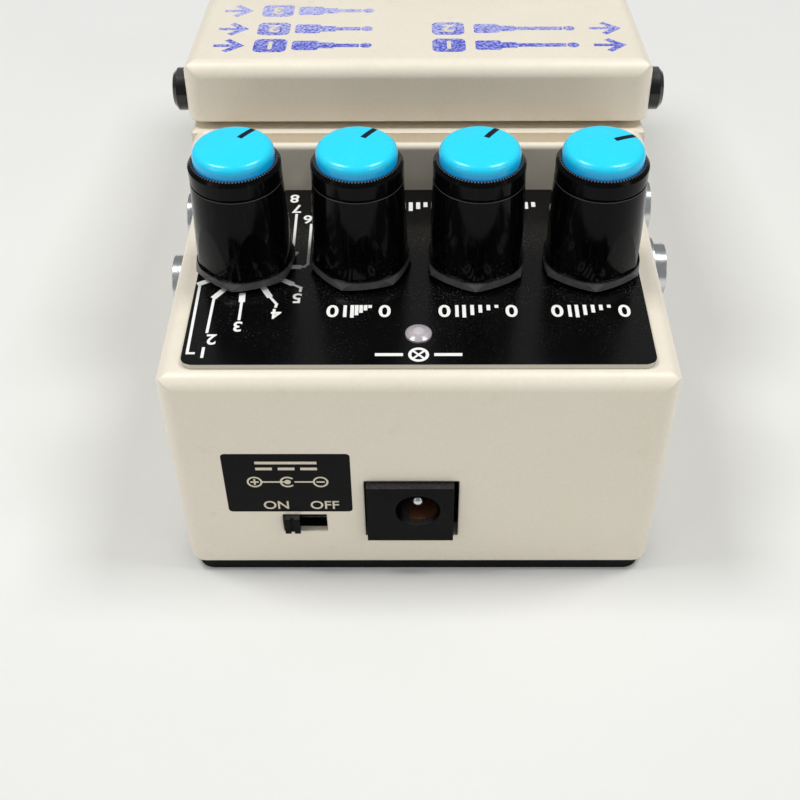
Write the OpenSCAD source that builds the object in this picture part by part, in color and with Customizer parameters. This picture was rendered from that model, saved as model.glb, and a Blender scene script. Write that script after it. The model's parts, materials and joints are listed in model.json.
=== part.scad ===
// Compact delay pedal: die-cast case, hinged treadle, four knobs, five side jacks.
// Millimetres. X to the player's right, Y to the rear wall, Z up, origin under the middle.

/* [Body] */
// width across the outer side walls
body_w = 68.5; // [66:0.5:74]
// depth from the treadle's front edge to the face of the power socket
overall_d = 129; // [129:0.5:138]
// height of the control deck
deck_h = 39.2; // [38.6:0.2:44]
// depth of the control deck from the rear wall to the ridge
deck_d = 41.7; // [41:0.1:44]
// height of the hinge ridge above the deck
ridge_rise = 8.4; // [8.2:0.1:10]
// thickness of the hinge ridge
ridge_t = 4.8; // [4.4:0.1:6]
// casting wall thickness
wall_t = 2.6; // [2.2:0.1:2.8]
// radius of the upright corners
corner_r = 2.5; // [1.5:0.1:3.5]
// radius of the deck edges
edge_r = 2; // [1:0.1:2.4]
// thickness of the rubber sole
sole_t = 2.4; // [2:0.1:3]
// thickness of the steel bottom plate
bottom_t = 1.2; // [0.8:0.1:1.5]

/* [Treadle] */
// height of the treadle's rear top edge above the ridge
treadle_rise = 9.2; // [9:0.1:10]
// forward slope of the treadle
treadle_slope = 6; // [5.5:0.1:6.2]
// how far the treadle stands out past each side wall
tread_over = 0.75; // [0.5:0.05:1]
// depth of the treadle's skirts
skirt_h = 9; // [8.8:0.1:9.1]
// thickness of the treadle's skirts
skirt_t = 3; // [2.6:0.1:3]
// thickness of the treadle's top
tread_t = 3.2; // [2.8:0.1:3.6]
// radius of the treadle's edges
tread_r = 2.2; // [1.5:0.1:2.5]
// length of the rubber tread pad
pad_l = 44; // [36:1:46]
// thickness of the rubber tread pad
pad_t = 2.5; // [2:0.1:3]
// number of grooves across the tread pad
pad_grooves = 12; // [6:1:14]
// full press of the treadle, degrees
press_deg = 2.3; // [1.5:0.1:2.4]

/* [Hinge] */
// radius of the hinge pin
pin_r = 1.5; // [1.2:0.1:1.7]
// radius of the hinge bush head
bush_head_r = 3.2; // [2.9:0.1:3.3]
// how far bush heads and jack sleeves stand out of the side walls
side_proud = 3; // [2.5:0.05:3.5]

/* [Knobs] */
// distance between neighbouring knobs
knob_pitch = 16.12; // [15.2:0.02:16.4]
// distance of the knob row from the rear wall
knob_back = 23.27; // [22:0.01:25]
// corner radius of the six-sided knob skirt
skirt_r = 7.2; // [6.9:0.05:7.5]
// height of a knob from its skirt to the seam
knob_h = 13.9; // [13:0.1:15]
// radius of a knob at the seam
collar_r = 6.15; // [5.9:0.05:6.3]
// radius of a coloured cap
cap_r = 5.4; // [5.2:0.05:5.5]
// thickness of the control plate
plate_t = 0.8; // [0.5:0.1:1.2]
// radius of a control shaft
shaft_r = 3; // [2.8:0.05:3]
// width of a pointer bar
pointer_w = 0.8; // [0.6:0.05:1.2]

/* [Sockets] */
// radius of a jack bore
jack_bore_r = 3.25; // [3.2:0.01:3.3]
// outer radius of a jack sleeve
jack_sleeve_r = 4; // [3.8:0.05:4.1]
// distance between neighbouring jacks
jack_pitch = 16.7; // [15.5:0.1:16.8]
// distance of the rear jacks from the rear wall
jack_back = 34.1; // [33:0.1:34.4]
// radius of the power socket bore
dc_bore_r = 3.2; // [2.9:0.05:3.4]
// radius of the power socket pin
dc_pin_r = 1.05; // [0.9:0.05:1.25]
// how far the power socket stands out of the rear wall
dc_proud = 1; // [0.6:0.1:1.5]
// length of the slide switch opening
slot_w = 6.34; // [6.2:0.02:7]
// height of the slide switch opening
slot_h = 3.7; // [3.4:0.1:4]
// radius of the indicator lamp
lamp_r = 1.75; // [1.5:0.05:2]

/* [Battery] */
// battery length without terminals
battery_l = 46.4; // [45:0.1:47]
// battery width
battery_w = 26; // [25.5:0.1:26.4]
// battery thickness
battery_t = 17; // [16:0.1:17.5]

/* [Spring] */
// wire diameter of the return spring
wire_d = 0.9; // [0.7:0.05:1]
// mean radius of the return spring
coil_r = 4; // [3.5:0.05:4.3]
// number of turns of the return spring
coil_turns = 7; // [5:1:8]

/* [Hidden] */
$fn = 64;
EPS = 0.01;
REACH = overall_d;
FIT = 0.05;
RUN = 0.1;

half_w = body_w / 2;
inner_x = half_w - wall_t;
side_x = half_w + side_proud;
rear_y = overall_d / 2 - dc_proud;
front_y = -overall_d / 2;
case_front_y = front_y + 1;
case_mid_y = (rear_y + case_front_y) / 2;
case_d = rear_y - case_front_y;
inner_rear_y = rear_y - wall_t;
plate_z = deck_h + plate_t;
deck_under_z = deck_h - wall_t;

ridge_rear_y = rear_y - deck_d;
ridge_front_y = ridge_rear_y - ridge_t;
ridge_z = deck_h + ridge_rise;
ridge_edge_r = 0.7;
ridge_end_r = 3;
trench_w = body_w - 9.3;
lip_t = 1;
trench_d = ridge_t - lip_t;
trench_depth = 4;

// side walls slope down to the front below the skirts
side_rear_z = ridge_z - 0.8;
side_drop = 11.1;
side_front_z = side_rear_z - side_drop;
side_slope = side_drop / (ridge_front_y - case_front_y);
rim_x = half_w - 4.05;
rim_rise = 1;
rim_t = 3.7;

tread_w = body_w + 2 * tread_over;
tread_x = tread_w / 2;
tread_foot_r = 0.9;
tread_rear_y = ridge_front_y - 2.6;
tread_rear_z = ridge_z + treadle_rise;
tread_reach = tread_rear_y - front_y - tread_r;
tread_l = (tread_reach + tread_r * (cos(treadle_slope) + sin(treadle_slope))) / cos(treadle_slope);
hinge_y = tread_rear_y - 5;
hinge_z = ridge_z + 2.4;
ear_r = 3;
ear_t = 2.6;
ear_x = rim_x - ear_t;
bush_r = 2;
bush_chamfer = 0.6;
clip_t = 0.5;
clip_r = 2.7;
pin_end_x = ear_x - RUN - clip_t - 0.5;

// compartments between the treadle and the bottom plate
front_t = 4.8;
well_d = 17.8;
well_front_y = case_front_y + front_t;
well_rear_y = well_front_y + well_d;
rib_t = 2;
bay_rib_t = 2.4;
pit_front_y = well_rear_y + rib_t;
pit_room = 1;
pit_d = battery_w + pit_room;
pit_rear_y = pit_front_y + pit_d;
bay_front_y = pit_rear_y + bay_rib_t;
tray_front_y = pit_rear_y + rib_t;
tray_rear_y = hinge_y - 0.4;
tray_z = deck_under_z + 3.4;
floor_t = 2.5;
pit_z = 12.5;
well_z = 24;
well_under_z = well_z - floor_t;
pit_x0 = -28;
pit_x1 = 26.5;
well_x = 27;
tray_x = rim_x - rim_t;
plate_bottom_z = sole_t;
plate_top_z = sole_t + bottom_t;
rebate = 1.2;

// thumbscrew, guide bush and spring near the front edge
screw_y = front_y + 10.6;
screw_r = 1.5;
screw_head_r = 6.4;
screw_flutes = 24;
pocket_r = 8.3;
pocket_wall = 2;
pocket_z = tread_rear_z - 14;
pocket_t = 2.5;
screw_head_h = 6.5;
guide_r = 3.2;
guide_top_z = pocket_z - 8.8;
guide_flange_r = 6;
guide_flange_t = 2;
guide_sway = 1.3;
ring_r = 3;
ring_t = 0.6;
ring_z = guide_top_z + 0.2;
ring_groove_r = screw_r - 0.35;
screw_end_z = guide_top_z - 5;
spring_x = -16;
spring_y = well_rear_y - 8.1;
spring_top_z = tread_rear_z - 13.3;
spring_boss_r = coil_r + 1.2;
spring_stud_r = coil_r - wire_d / 2 - 0.5;
spring_stud_h = 2;

foot_x = 16;
foot_y = spring_y;
foot_w = 12;
foot_h = 8;
foot_r = 2.2;
foot_post_r = 3;
foot_gap = 0.15;
foot_top_z = tread_rear_z - 16.4;
foot_dome_r = 4;
press_mm = (hinge_y - foot_y) * press_deg * PI / 180;

// boards
board_z = 6.7;
board_t = 1.6;
board_top_z = board_z + board_t;
board_x = 25;
chip_t = 1.6;
chip_y = rear_y - 35.5;
big_chip_w = 14;
small_chip_w = 7;
small_chip_d = 5;
can_r = 3;
can_h = 8;
can_x = -18;
can_y = rear_y - 52;
can_pitch = 8;
can_count = 4;
spacer_r = 2.5;
spacer_x = board_x - 4;
header_x = -14;
header_y = rear_y - 14.5;
header_w = 12;
header_d = 3;
panel_z = deck_under_z - 6.6;
panel_top_z = panel_z + board_t;
panel_front_y = rear_y - 28.3;
panel_rear_y = rear_y - 4;
out_drop = 6.1;
in_drop = 8.2;
jack_body_w = 10;
jack_body_h = 10.4;
jack_body_l = 27;
jack_end_t = 1;
jack_chan_r = 3.5;
jack_hole_r = jack_sleeve_r + 0.15;
jack_nut_r = 4.9;
jack_nut_t = 1.1;
jack_y = [rear_y - jack_back, rear_y - jack_back - jack_pitch, rear_y - jack_back - 2 * jack_pitch];

// knob row
knob_y = rear_y - knob_back;
knob_x = [1.5 * knob_pitch, 0.5 * knob_pitch, -0.5 * knob_pitch, -1.5 * knob_pitch];
pointer_turn = [150, 150, 150, 119];
skirt_turn = [-10, -20, -2, 0];
knob_gap = 0.7;
knob_z = plate_z + knob_gap;
skirt_h_k = 1.3;
skirt_mid = 0.925;
knob_base_r = 6.7;
knob_mid = 0.95;
seam_z = knob_z + knob_h;
seam_w = 0.3;
collar_h = 2.7;
collar_z = seam_z + collar_h;
cap_seat = 0.8;
cap_rise = 2.4;
cap_round = 1.1;
cap_dome = 0.55;
cap_h = cap_seat + cap_rise;
pointer_in_r = 1.6;
pointer_depth = 1.3;
nut_af = 9;
nut_t = 2;
washer_r = 5;
washer_t = 0.5;
thread_r = 3.5;
thread_top_z = plate_z + washer_t + nut_t + 0.7;
knob_recess_r = 5.45;
knob_recess_z = thread_top_z + 0.4;
shaft_top_z = seam_z - 2.4;
pot_w = 9.8;
pot_d = 11;
pot_room = 0.3;
pot_room_x = knob_x[0] + pot_w / 2 + pot_room;
pot_room_y = pot_d / 2 + pot_room;
shaft_end_z = panel_top_z + 1.9;
plate_x = half_w - 3.4;
plate_front_y = ridge_rear_y + 0.17;
plate_rear_y = rear_y - 2.3;
lamp_y = rear_y - 8.25;
lamp_stem_r = lamp_r - 0.3;
lamp_dome = 0.5;

// rear wall fittings
dc_x0 = -5;
dc_x1 = 7.36;
dc_top_z = board_top_z + 11.25;
dc_room_left = 0.7;
dc_room_right = 0.3;
dc_room_top = 0.55;
dc_bore_x = 0.1;
dc_bore_z = board_top_z + 6.6;
dc_deep = 11.5;
dc_bore_d = 9;
leaf_x = dc_bore_x - 0.75;
leaf_w = 4;
leaf_t = 0.4;
leaf_back = 1.2;
slot_x0 = 13.16;
slot_z0 = board_top_z + 1;
slider_w = 2.2;
slider_rest_x = slot_x0 + slot_w - slider_w - 0.26;
slider_travel = slider_rest_x - slot_x0 - 0.48;
slider_proud = 0.8;
shoe_over = 1.1;
shoe_d = 2;
shoe_back = 1.7;
shoe_gap = 0.2;

// bottom screws
boss_r = 3;
boss_sink = 0.8;
boss_x = inner_x - boss_r + boss_sink;
boss_rear_y = inner_rear_y - boss_r + boss_sink;
boss_front_y = case_front_y + wall_t + boss_r - boss_sink;
bolt_r = 1.4;
bolt_head_r = 2.5;
bolt_head_room = 0.4;
bolt_head_t = 1.4;
bolt_l = 9;
cross_l = 2.8;
cross_w = 0.7;
cross_d = 0.9;

battery_x0 = pit_x0 + 6;
battery_y = (pit_front_y + pit_rear_y) / 2;
battery_z = pit_z + battery_t / 2;
stud_pitch = 12.7;
stud_r = 2.9;
stud_h = 2.1;
snap_t = 3.6;
snap_w = 24;
snap_h = 14;

coil_h = spring_top_z - well_z - wire_d;
coil_gap = coil_h / coil_turns - wire_d;
echo(spring_least_gap_mm = coil_gap);
echo(slider_travel_mm = slider_travel);
echo(plunger_travel_mm = press_mm);

// extrudes a Y-Z outline along X, centred
module along_x(w) {
    rotate([90, 0, 90])
        linear_extrude(height = w, center = true)
            children();
}

// extrudes an X-Z outline along Y, centred
module along_y(d) {
    rotate([90, 0, 0])
        linear_extrude(height = d, center = true)
            children();
}

// box between two corners
module span(a, b) {
    translate(a)
        cube(b - a);
}

// round bar along X between two places
module bar_x(x0, x1, y, z, r) {
    translate([min(x0, x1), y, z])
        rotate([0, 90, 0])
            cylinder(r = r, h = abs(x1 - x0));
}

// round bar along Z
module post(x, y, z0, z1, r) {
    translate([x, y, z0])
        cylinder(r = r, h = z1 - z0);
}

// rectangle with four rounded corners, centred
module round_rect(w, d, r) {
    square([w - 2 * r, d], center = true);
    square([w, d - 2 * r], center = true);
    for (sx = [-1, 1], sy = [-1, 1])
        translate([sx * (w / 2 - r), sy * (d / 2 - r)])
            circle(r = r);
}

// rectangle with its two top corners rounded, centred in width
module top_round(w, z0, z1, r) {
    translate([-w / 2, z0])
        square([w, z1 - r - z0]);
    translate([-w / 2 + r, z0])
        square([w - 2 * r, z1 - z0]);
    for (s = [-1, 1])
        translate([s * (w / 2 - r), z1 - r])
            circle(r = r);
}

// height of the jacks on one side
function jack_z(s) = deck_under_z - (s > 0 ? in_drop : out_drop);

// height of the case side wall at a place along Y
function side_z(y) = side_rear_z - (ridge_front_y - y) * side_slope;

// case outline seen from above
module case_plan(z0, z1) {
    translate([0, case_mid_y, z0])
        linear_extrude(height = z1 - z0)
            round_rect(body_w, case_d, corner_r);
}

module deck_block() {
    intersection() {
        case_plan(plate_bottom_z, deck_h);
        translate([0, (rear_y + ridge_front_y) / 2, 0])
            along_y(rear_y - ridge_front_y)
                top_round(body_w, plate_bottom_z, deck_h, edge_r);
        translate([0, rear_y - REACH / 2, 0])
            along_x(body_w)
                top_round(REACH, plate_bottom_z, deck_h, edge_r);
    }
}

module ridge_block() {
    difference() {
        intersection() {
            translate([0, (ridge_rear_y + ridge_front_y) / 2, 0])
                along_y(ridge_t)
                    top_round(body_w, plate_bottom_z, ridge_z, ridge_end_r);
            translate([0, (ridge_rear_y + ridge_front_y) / 2, 0])
                along_x(body_w)
                    top_round(ridge_t, plate_bottom_z, ridge_z, ridge_edge_r);
        }
        span([-trench_w / 2, ridge_front_y - EPS, ridge_z - trench_depth],
            [trench_w / 2, ridge_front_y + trench_d, ridge_z + EPS]);
    }
}

module front_block() {
    intersection() {
        case_plan(plate_bottom_z, ridge_z);
        along_x(body_w)
            polygon([[ridge_front_y, plate_bottom_z], [ridge_front_y, side_rear_z],
                [case_front_y, side_front_z], [case_front_y, plate_bottom_z]]);
    }
    rim_front_y = well_front_y - 1.6;
    rim_rear_y = hinge_y + 2;
    along_x(2 * rim_x)
        polygon([[rim_rear_y, tray_z - EPS], [rim_rear_y, side_z(rim_rear_y) + rim_rise],
            [rim_front_y, side_z(rim_front_y) + rim_rise], [rim_front_y, well_z]]);
}

module case_ears() {
    for (s = [-1, 1]) {
        bar_x(s * ear_x, s * rim_x, hinge_y, hinge_z, ear_r);
        translate([s * (ear_x + ear_t / 2), hinge_y, (tray_z + hinge_z) / 2])
            cube([ear_t, 2 * ear_r, hinge_z - tray_z], center = true);
    }
}

module case_hollows() {
    // control bay
    span([-inner_x, bay_front_y, 0], [inner_x, inner_rear_y, deck_under_z]);
    // room for the end pots
    span([-pot_room_x, knob_y - pot_room_y, panel_top_z], [pot_room_x, knob_y + pot_room_y, deck_under_z]);
    // under the battery and under the front well
    span([-inner_x, well_rear_y, 0], [inner_x, bay_front_y + EPS, pit_z - floor_t]);
    span([-inner_x, case_front_y + wall_t, 0], [inner_x, well_rear_y + EPS, well_under_z]);
    // open compartments under the treadle
    span([-tray_x, tray_front_y, tray_z], [tray_x, tray_rear_y, REACH]);
    span([pit_x0, pit_front_y, pit_z], [pit_x1, pit_rear_y, REACH]);
    span([-well_x, well_front_y, well_z], [well_x, well_rear_y, REACH]);
    // rebate for the bottom plate
    span([-half_w + rebate, case_front_y + rebate, 0], [half_w - rebate, rear_y - rebate, plate_top_z]);
}

module case_bosses() {
    for (s = [-1, 1]) {
        post(s * boss_x, boss_rear_y, plate_top_z, deck_under_z + EPS, boss_r);
        post(s * boss_x, boss_front_y, plate_top_z, well_under_z + EPS, boss_r);
    }
}

module case_holes() {
    for (s = [-1, 1]) {
        bar_x(s * (ear_x - 1), s * (rim_x + 1), hinge_y, hinge_z, pin_r + FIT);
        post(s * boss_x, boss_rear_y, 0, plate_top_z + bolt_l, bolt_r + FIT);
        post(s * boss_x, boss_front_y, 0, plate_top_z + bolt_l, bolt_r + FIT);
    }
    for (x = knob_x)
        post(x, knob_y, deck_under_z - 1, deck_h + 1, thread_r + RUN);
    post(0, lamp_y, deck_under_z - 1, deck_h + 1, lamp_stem_r + RUN);
    for (i = [0 : 2])
        bar_x(inner_x - 1, half_w + 1, jack_y[i], jack_z(1), jack_hole_r);
    for (i = [0 : 1])
        bar_x(-inner_x + 1, -half_w - 1, jack_y[i], jack_z(-1), jack_hole_r);
    span([dc_x0 - dc_room_left, inner_rear_y - 1, board_top_z],
        [dc_x1 + dc_room_right, rear_y + 1, dc_top_z + dc_room_top]);
    span([slot_x0, inner_rear_y - 1, slot_z0], [slot_x0 + slot_w, rear_y + 1, slot_z0 + slot_h]);
    // slot for the swaying guide bush
    for (dy = [0, guide_sway])
        post(0, screw_y + dy, well_under_z - 1, well_z + 1, guide_r + 0.3);
    span([-guide_r - 0.3, screw_y, well_under_z - 1], [guide_r + 0.3, screw_y + guide_sway, well_z + 1]);
}

module case() {
    color("#e9e2d0")
        difference() {
            union() {
                difference() {
                    union() {
                        deck_block();
                        ridge_block();
                        front_block();
                    }
                    case_hollows();
                }
                case_ears();
                case_bosses();
            }
            case_holes();
        }
}

module control_plate() {
    color("#101012")
        difference() {
            translate([0, (plate_rear_y + plate_front_y) / 2, deck_h])
                linear_extrude(height = plate_t)
                    round_rect(2 * plate_x, plate_rear_y - plate_front_y, 1.5);
            for (x = knob_x)
                post(x, knob_y, deck_h - 1, plate_z + 1, thread_r + RUN);
            post(0, lamp_y, deck_h - 1, plate_z + 1, lamp_r + RUN);
        }
}

// places children in the sloping frame whose origin is the treadle's rear top edge
module on_treadle() {
    translate([0, tread_rear_y, tread_rear_z])
        rotate([treadle_slope, 0, 0])
            children();
}

module treadle_outline(depth) {
    on_treadle()
        intersection() {
            translate([0, -tread_l / 2, -depth])
                linear_extrude(height = depth)
                    round_rect(tread_w, tread_l, corner_r);
            translate([0, -tread_l / 2, -depth / 2])
                along_y(tread_l)
                    round_rect(tread_w, depth, tread_foot_r);
            translate([0, -tread_l / 2, 0])
                along_y(tread_l)
                    top_round(tread_w, -depth, 0, tread_r);
            translate([0, -tread_l / 2, 0])
                along_x(tread_w)
                    top_round(tread_l, -depth, 0, tread_r);
        }
}

module treadle_hollow() {
    hollow_x = tread_x - skirt_t;
    rear_wall = 2.8;
    front_wall = 3;
    on_treadle() {
        span([-hollow_x, -tread_l + front_wall, -skirt_h - 1], [hollow_x, -rear_wall, -tread_t]);
        // room for the case ears
        for (s = [-1, 1])
            translate([s * (hollow_x + ear_x - 1) / 2, -6, -(skirt_h + 3) / 2])
                cube([hollow_x - ear_x + 1, 8.4, skirt_h - 1], center = true);
    }
}

module treadle_inner() {
    // thumbscrew pocket
    intersection() {
        treadle_outline(skirt_h + 4);
        union() {
            post(0, screw_y, pocket_z - pocket_t, tread_rear_z, pocket_r + pocket_wall);
            span([-pocket_r - pocket_wall, front_y - 1, pocket_z - pocket_t],
                [pocket_r + pocket_wall, screw_y, tread_rear_z]);
        }
    }
    // spring boss and post over the foot switch
    tread_under = tread_t - 1;
    intersection() {
        treadle_outline(skirt_h + 20);
        union() {
            post(spring_x, spring_y, spring_top_z, tread_rear_z, spring_boss_r);
            post(spring_x, spring_y, spring_top_z - spring_stud_h, tread_rear_z, spring_stud_r);
            post(foot_x, foot_y, foot_top_z + foot_gap, tread_rear_z, foot_post_r);
        }
    }
    // stiffening ribs
    brace_x = 12.5;
    brace_t = 2;
    brace_h = 2.6;
    brace_front = 26;
    brace_rear = 14;
    on_treadle()
        for (s = [-1, 1])
            span([s * brace_x - brace_t / 2, -tread_l + brace_front, -tread_t - brace_h],
                [s * brace_x + brace_t / 2, -brace_rear, -tread_under]);
}

module pad_outline(grow, z0, z1) {
    pad_edge = 2.4;
    pad_w = body_w - 6.5;
    on_treadle()
        translate([0, -tread_l + pad_edge + pad_l / 2, z0])
            linear_extrude(height = z1 - z0)
                round_rect(pad_w + 2 * grow, pad_l + 2 * grow, 3);
}

module treadle() {
    color("#e9e2d0")
        difference() {
            union() {
                difference() {
                    treadle_outline(skirt_h);
                    treadle_hollow();
                }
                treadle_inner();
            }
            post(0, screw_y, pocket_z, tread_rear_z, pocket_r);
            span([-pocket_r, front_y - 1, pocket_z], [pocket_r, screw_y, tread_rear_z]);
            post(0, screw_y, pocket_z - pocket_t - 1, pocket_z + 1, screw_r + 0.5);
            pad_outline(FIT, -1, 1);
            for (s = [-1, 1])
                bar_x(s * (tread_x - skirt_t - 1), s * (tread_x + 1), hinge_y, hinge_z, bush_r + FIT);
        }
}

module treadle_pad() {
    groove_w = 1;
    groove_d = 0.6;
    pitch = (pad_l - 20) / pad_grooves;
    color("#17171a")
        difference() {
            pad_outline(0, -1, pad_t - 1);
            post(0, screw_y, pocket_z, tread_rear_z + pad_t, pocket_r + 0.6);
            span([-pocket_r - 0.6, front_y - 1, pocket_z], [pocket_r + 0.6, screw_y, tread_rear_z + pad_t]);
            on_treadle()
                for (i = [1 : pad_grooves])
                    translate([0, -tread_l + pad_l - i * pitch, pad_t - 1])
                        cube([body_w - 12, groove_w, 2 * groove_d], center = true);
        }
}

module hinge_bush(s) {
    color("#141416") {
        bar_x(s * tread_x, s * (side_x - bush_chamfer), hinge_y, hinge_z, bush_head_r);
        translate([s * (side_x - bush_chamfer), hinge_y, hinge_z])
            rotate([0, s * 90, 0])
                cylinder(r1 = bush_head_r, r2 = bush_head_r - bush_chamfer, h = bush_chamfer);
        bar_x(s * (tread_x - skirt_t), s * (tread_x + EPS), hinge_y, hinge_z, bush_r);
        bar_x(s * pin_end_x, s * tread_x, hinge_y, hinge_z, pin_r);
    }
}

module hinge_clips() {
    color("#b9bcc0")
        for (s = [-1, 1])
            difference() {
                bar_x(s * (ear_x - RUN - clip_t), s * (ear_x - RUN), hinge_y, hinge_z, clip_r);
                bar_x(s * (ear_x - 3), s * ear_x, hinge_y, hinge_z, pin_r);
            }
}

module guide_bush() {
    color("#d8d4c8")
        difference() {
            union() {
                post(0, screw_y, well_under_z - guide_flange_t, guide_top_z, guide_r);
                post(0, screw_y, well_under_z - guide_flange_t, well_under_z, guide_flange_r);
            }
            post(0, screw_y, well_under_z - guide_flange_t - 1, guide_top_z + 1, screw_r + FIT);
        }
}

module thumbscrew() {
    flute_r = 0.55;
    slot = 1.6;
    color("#b9bcc0")
        difference() {
            union() {
                post(0, screw_y, pocket_z, pocket_z + screw_head_h, screw_head_r);
                post(0, screw_y, screw_end_z, pocket_z + EPS, screw_r);
            }
            for (i = [1 : screw_flutes])
                translate([0, screw_y, 0])
                    rotate([0, 0, i * 360 / screw_flutes])
                        post(screw_head_r, 0, pocket_z - 1, pocket_z + screw_head_h + 1, flute_r);
            translate([0, screw_y, pocket_z + screw_head_h])
                cube([2 * screw_head_r + 1, slot, 2 * slot], center = true);
            difference() {
                post(0, screw_y, ring_z - FIT, ring_z + ring_t + FIT, screw_r + 1);
                post(0, screw_y, ring_z - 1, ring_z + ring_t + 1, ring_groove_r);
            }
        }
}

module screw_ring() {
    color("#8d9094")
        difference() {
            post(0, screw_y, ring_z, ring_z + ring_t, ring_r);
            post(0, screw_y, ring_z - 1, ring_z + ring_t + 1, ring_groove_r + FIT);
        }
}

// place along the coil's centre line; the ends run straight for one wire diameter
function coil_at(i, n) =
    let(k = min(max(i - 1, 0), n), turn = 360 * coil_turns * k / n,
        past = i == 0 ? -wire_d : (i == n + 2 ? wire_d : 0))
    [coil_r * cos(turn) - past * sin(turn), coil_r * sin(turn) + past * cos(turn), coil_h * k / n];

module return_spring() {
    steps = 8;
    sides = 6;
    n = steps * coil_turns;
    rings = n + 3;
    points = [for (i = [0 : rings - 1], j = [0 : sides - 1])
        let(k = min(max(i - 1, 0), n), turn = 360 * coil_turns * k / n, a = 360 * j / sides,
            c = coil_at(i, n))
        [c[0] + wire_d / 2 * cos(a) * cos(turn), c[1] + wire_d / 2 * cos(a) * sin(turn),
            c[2] + wire_d / 2 * sin(a)]];
    sides_faces = [for (i = [0 : rings - 2], j = [0 : sides - 1])
        let(a = i * sides + j, b = i * sides + (j + 1) % sides)
        each [[a, b, b + sides], [a, b + sides, a + sides]]];
    first = [[for (j = [0 : sides - 1]) sides - 1 - j]];
    last = [[for (j = [0 : sides - 1]) (rings - 1) * sides + j]];
    color("#8d9094")
        translate([spring_x, spring_y, well_z + wire_d / 2])
            polyhedron(points = points, faces = concat(sides_faces, first, last), convexity = 10);
}

module foot_switch() {
    color("#1d1d20")
        difference() {
            translate([foot_x, foot_y, well_z + foot_h / 2])
                cube([foot_w, foot_w, foot_h], center = true);
            post(foot_x, foot_y, well_z + 1.2, well_z + foot_h + 1, foot_r + RUN);
        }
}

module foot_plunger() {
    base_z = well_z + 1.2 + press_mm + 0.3;
    dome_drop = foot_dome_r - sqrt(foot_dome_r * foot_dome_r - foot_r * foot_r);
    color("#e6e6e2")
        union() {
            post(foot_x, foot_y, base_z, foot_top_z - dome_drop, foot_r);
            intersection() {
                post(foot_x, foot_y, base_z, foot_top_z, foot_r);
                translate([foot_x, foot_y, foot_top_z - foot_dome_r])
                    sphere(r = foot_dome_r);
            }
        }
}

module battery() {
    color("#3a3d42")
        union() {
            translate([battery_x0, battery_y - battery_w / 2, pit_z])
                cube([battery_l, battery_w, battery_t]);
            for (s = [-1, 1])
                bar_x(battery_x0 - stud_h, battery_x0 + EPS, battery_y + s * stud_pitch / 2, battery_z,
                    stud_r);
        }
}

module battery_snap() {
    color("#161618")
        difference() {
            translate([battery_x0 - snap_t / 2, battery_y, battery_z])
                cube([snap_t, snap_w, snap_h], center = true);
            for (s = [-1, 1])
                bar_x(battery_x0 - stud_h - 0.2, battery_x0 + 1, battery_y + s * stud_pitch / 2, battery_z,
                    stud_r + FIT);
        }
}

module main_board() {
    color("#1f5a38")
        span([-board_x, bay_front_y + 2.5, board_z], [board_x, rear_y - 3, board_top_z]);
}

// flat chip on the main board, centred on a place
module chip(x, y, w, d) {
    translate([x - w / 2, y - d / 2, board_top_z])
        cube([w, d, chip_t]);
}

module board_parts() {
    color("#222226") {
        chip(-1, chip_y, big_chip_w, big_chip_w);
        chip(-16.5, chip_y, small_chip_w, small_chip_w);
        chip(16, chip_y, small_chip_w, small_chip_d);
        for (i = [0 : can_count - 1])
            post(can_x + can_pitch * i, can_y, board_top_z, board_top_z + can_h, can_r);
    }
}

module board_spacers() {
    color("#c9b26a")
        for (s = [-1, 1], y = [bay_front_y + 7, rear_y - 8])
            post(s * spacer_x, y, plate_top_z, board_z, spacer_r);
}

module board_header() {
    color("#19191c")
        span([header_x - header_w / 2, header_y - header_d / 2, board_top_z],
            [header_x + header_w / 2, header_y + header_d / 2, panel_z]);
}

module panel_board() {
    color("#1f5a38")
        span([-inner_x + 1, panel_front_y, panel_z], [inner_x - 1, boss_rear_y - boss_r - 0.5, panel_top_z]);
    color("#1f5a38")
        span([-boss_x + boss_r + 1, boss_rear_y - boss_r - 0.6, panel_z],
            [boss_x - boss_r - 1, panel_rear_y, panel_top_z]);
}

module jack_board(s, n) {
    x0 = s * (inner_x - jack_body_l);
    x1 = s * (inner_x - 1);
    top_z = jack_z(s) - jack_body_h / 2;
    color("#1f5a38")
        span([min(x0, x1), jack_y[n - 1] - jack_body_w / 2, top_z - board_t],
            [max(x0, x1), jack_y[0] + jack_body_w / 2, top_z]);
}

module pot_body(x) {
    difference() {
        union() {
            span([x - pot_w / 2, knob_y - pot_d / 2, panel_top_z],
                [x + pot_w / 2, knob_y + pot_d / 2, deck_under_z]);
            post(x, knob_y, deck_under_z - EPS, thread_top_z, thread_r);
        }
        post(x, knob_y, shaft_end_z, thread_top_z + 1, shaft_r + FIT);
    }
}

module mode_switch() {
    color("#8a8f96")
        pot_body(knob_x[0]);
}

module pots() {
    color("#8a8f96")
        for (i = [1 : 3])
            pot_body(knob_x[i]);
}

module pot_nuts() {
    color("#c4c6c9")
        for (x = knob_x)
            difference() {
                translate([x, knob_y, plate_z + washer_t])
                    cylinder(r = nut_af / sqrt(3), h = nut_t, $fn = 6);
                post(x, knob_y, plate_z, plate_z + 2 * nut_t, thread_r);
            }
}

module pot_washers() {
    color("#c4c6c9")
        for (x = knob_x)
            difference() {
                post(x, knob_y, plate_z, plate_z + washer_t, washer_r);
                post(x, knob_y, plate_z - 1, plate_z + 1, thread_r + FIT);
            }
}

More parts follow.
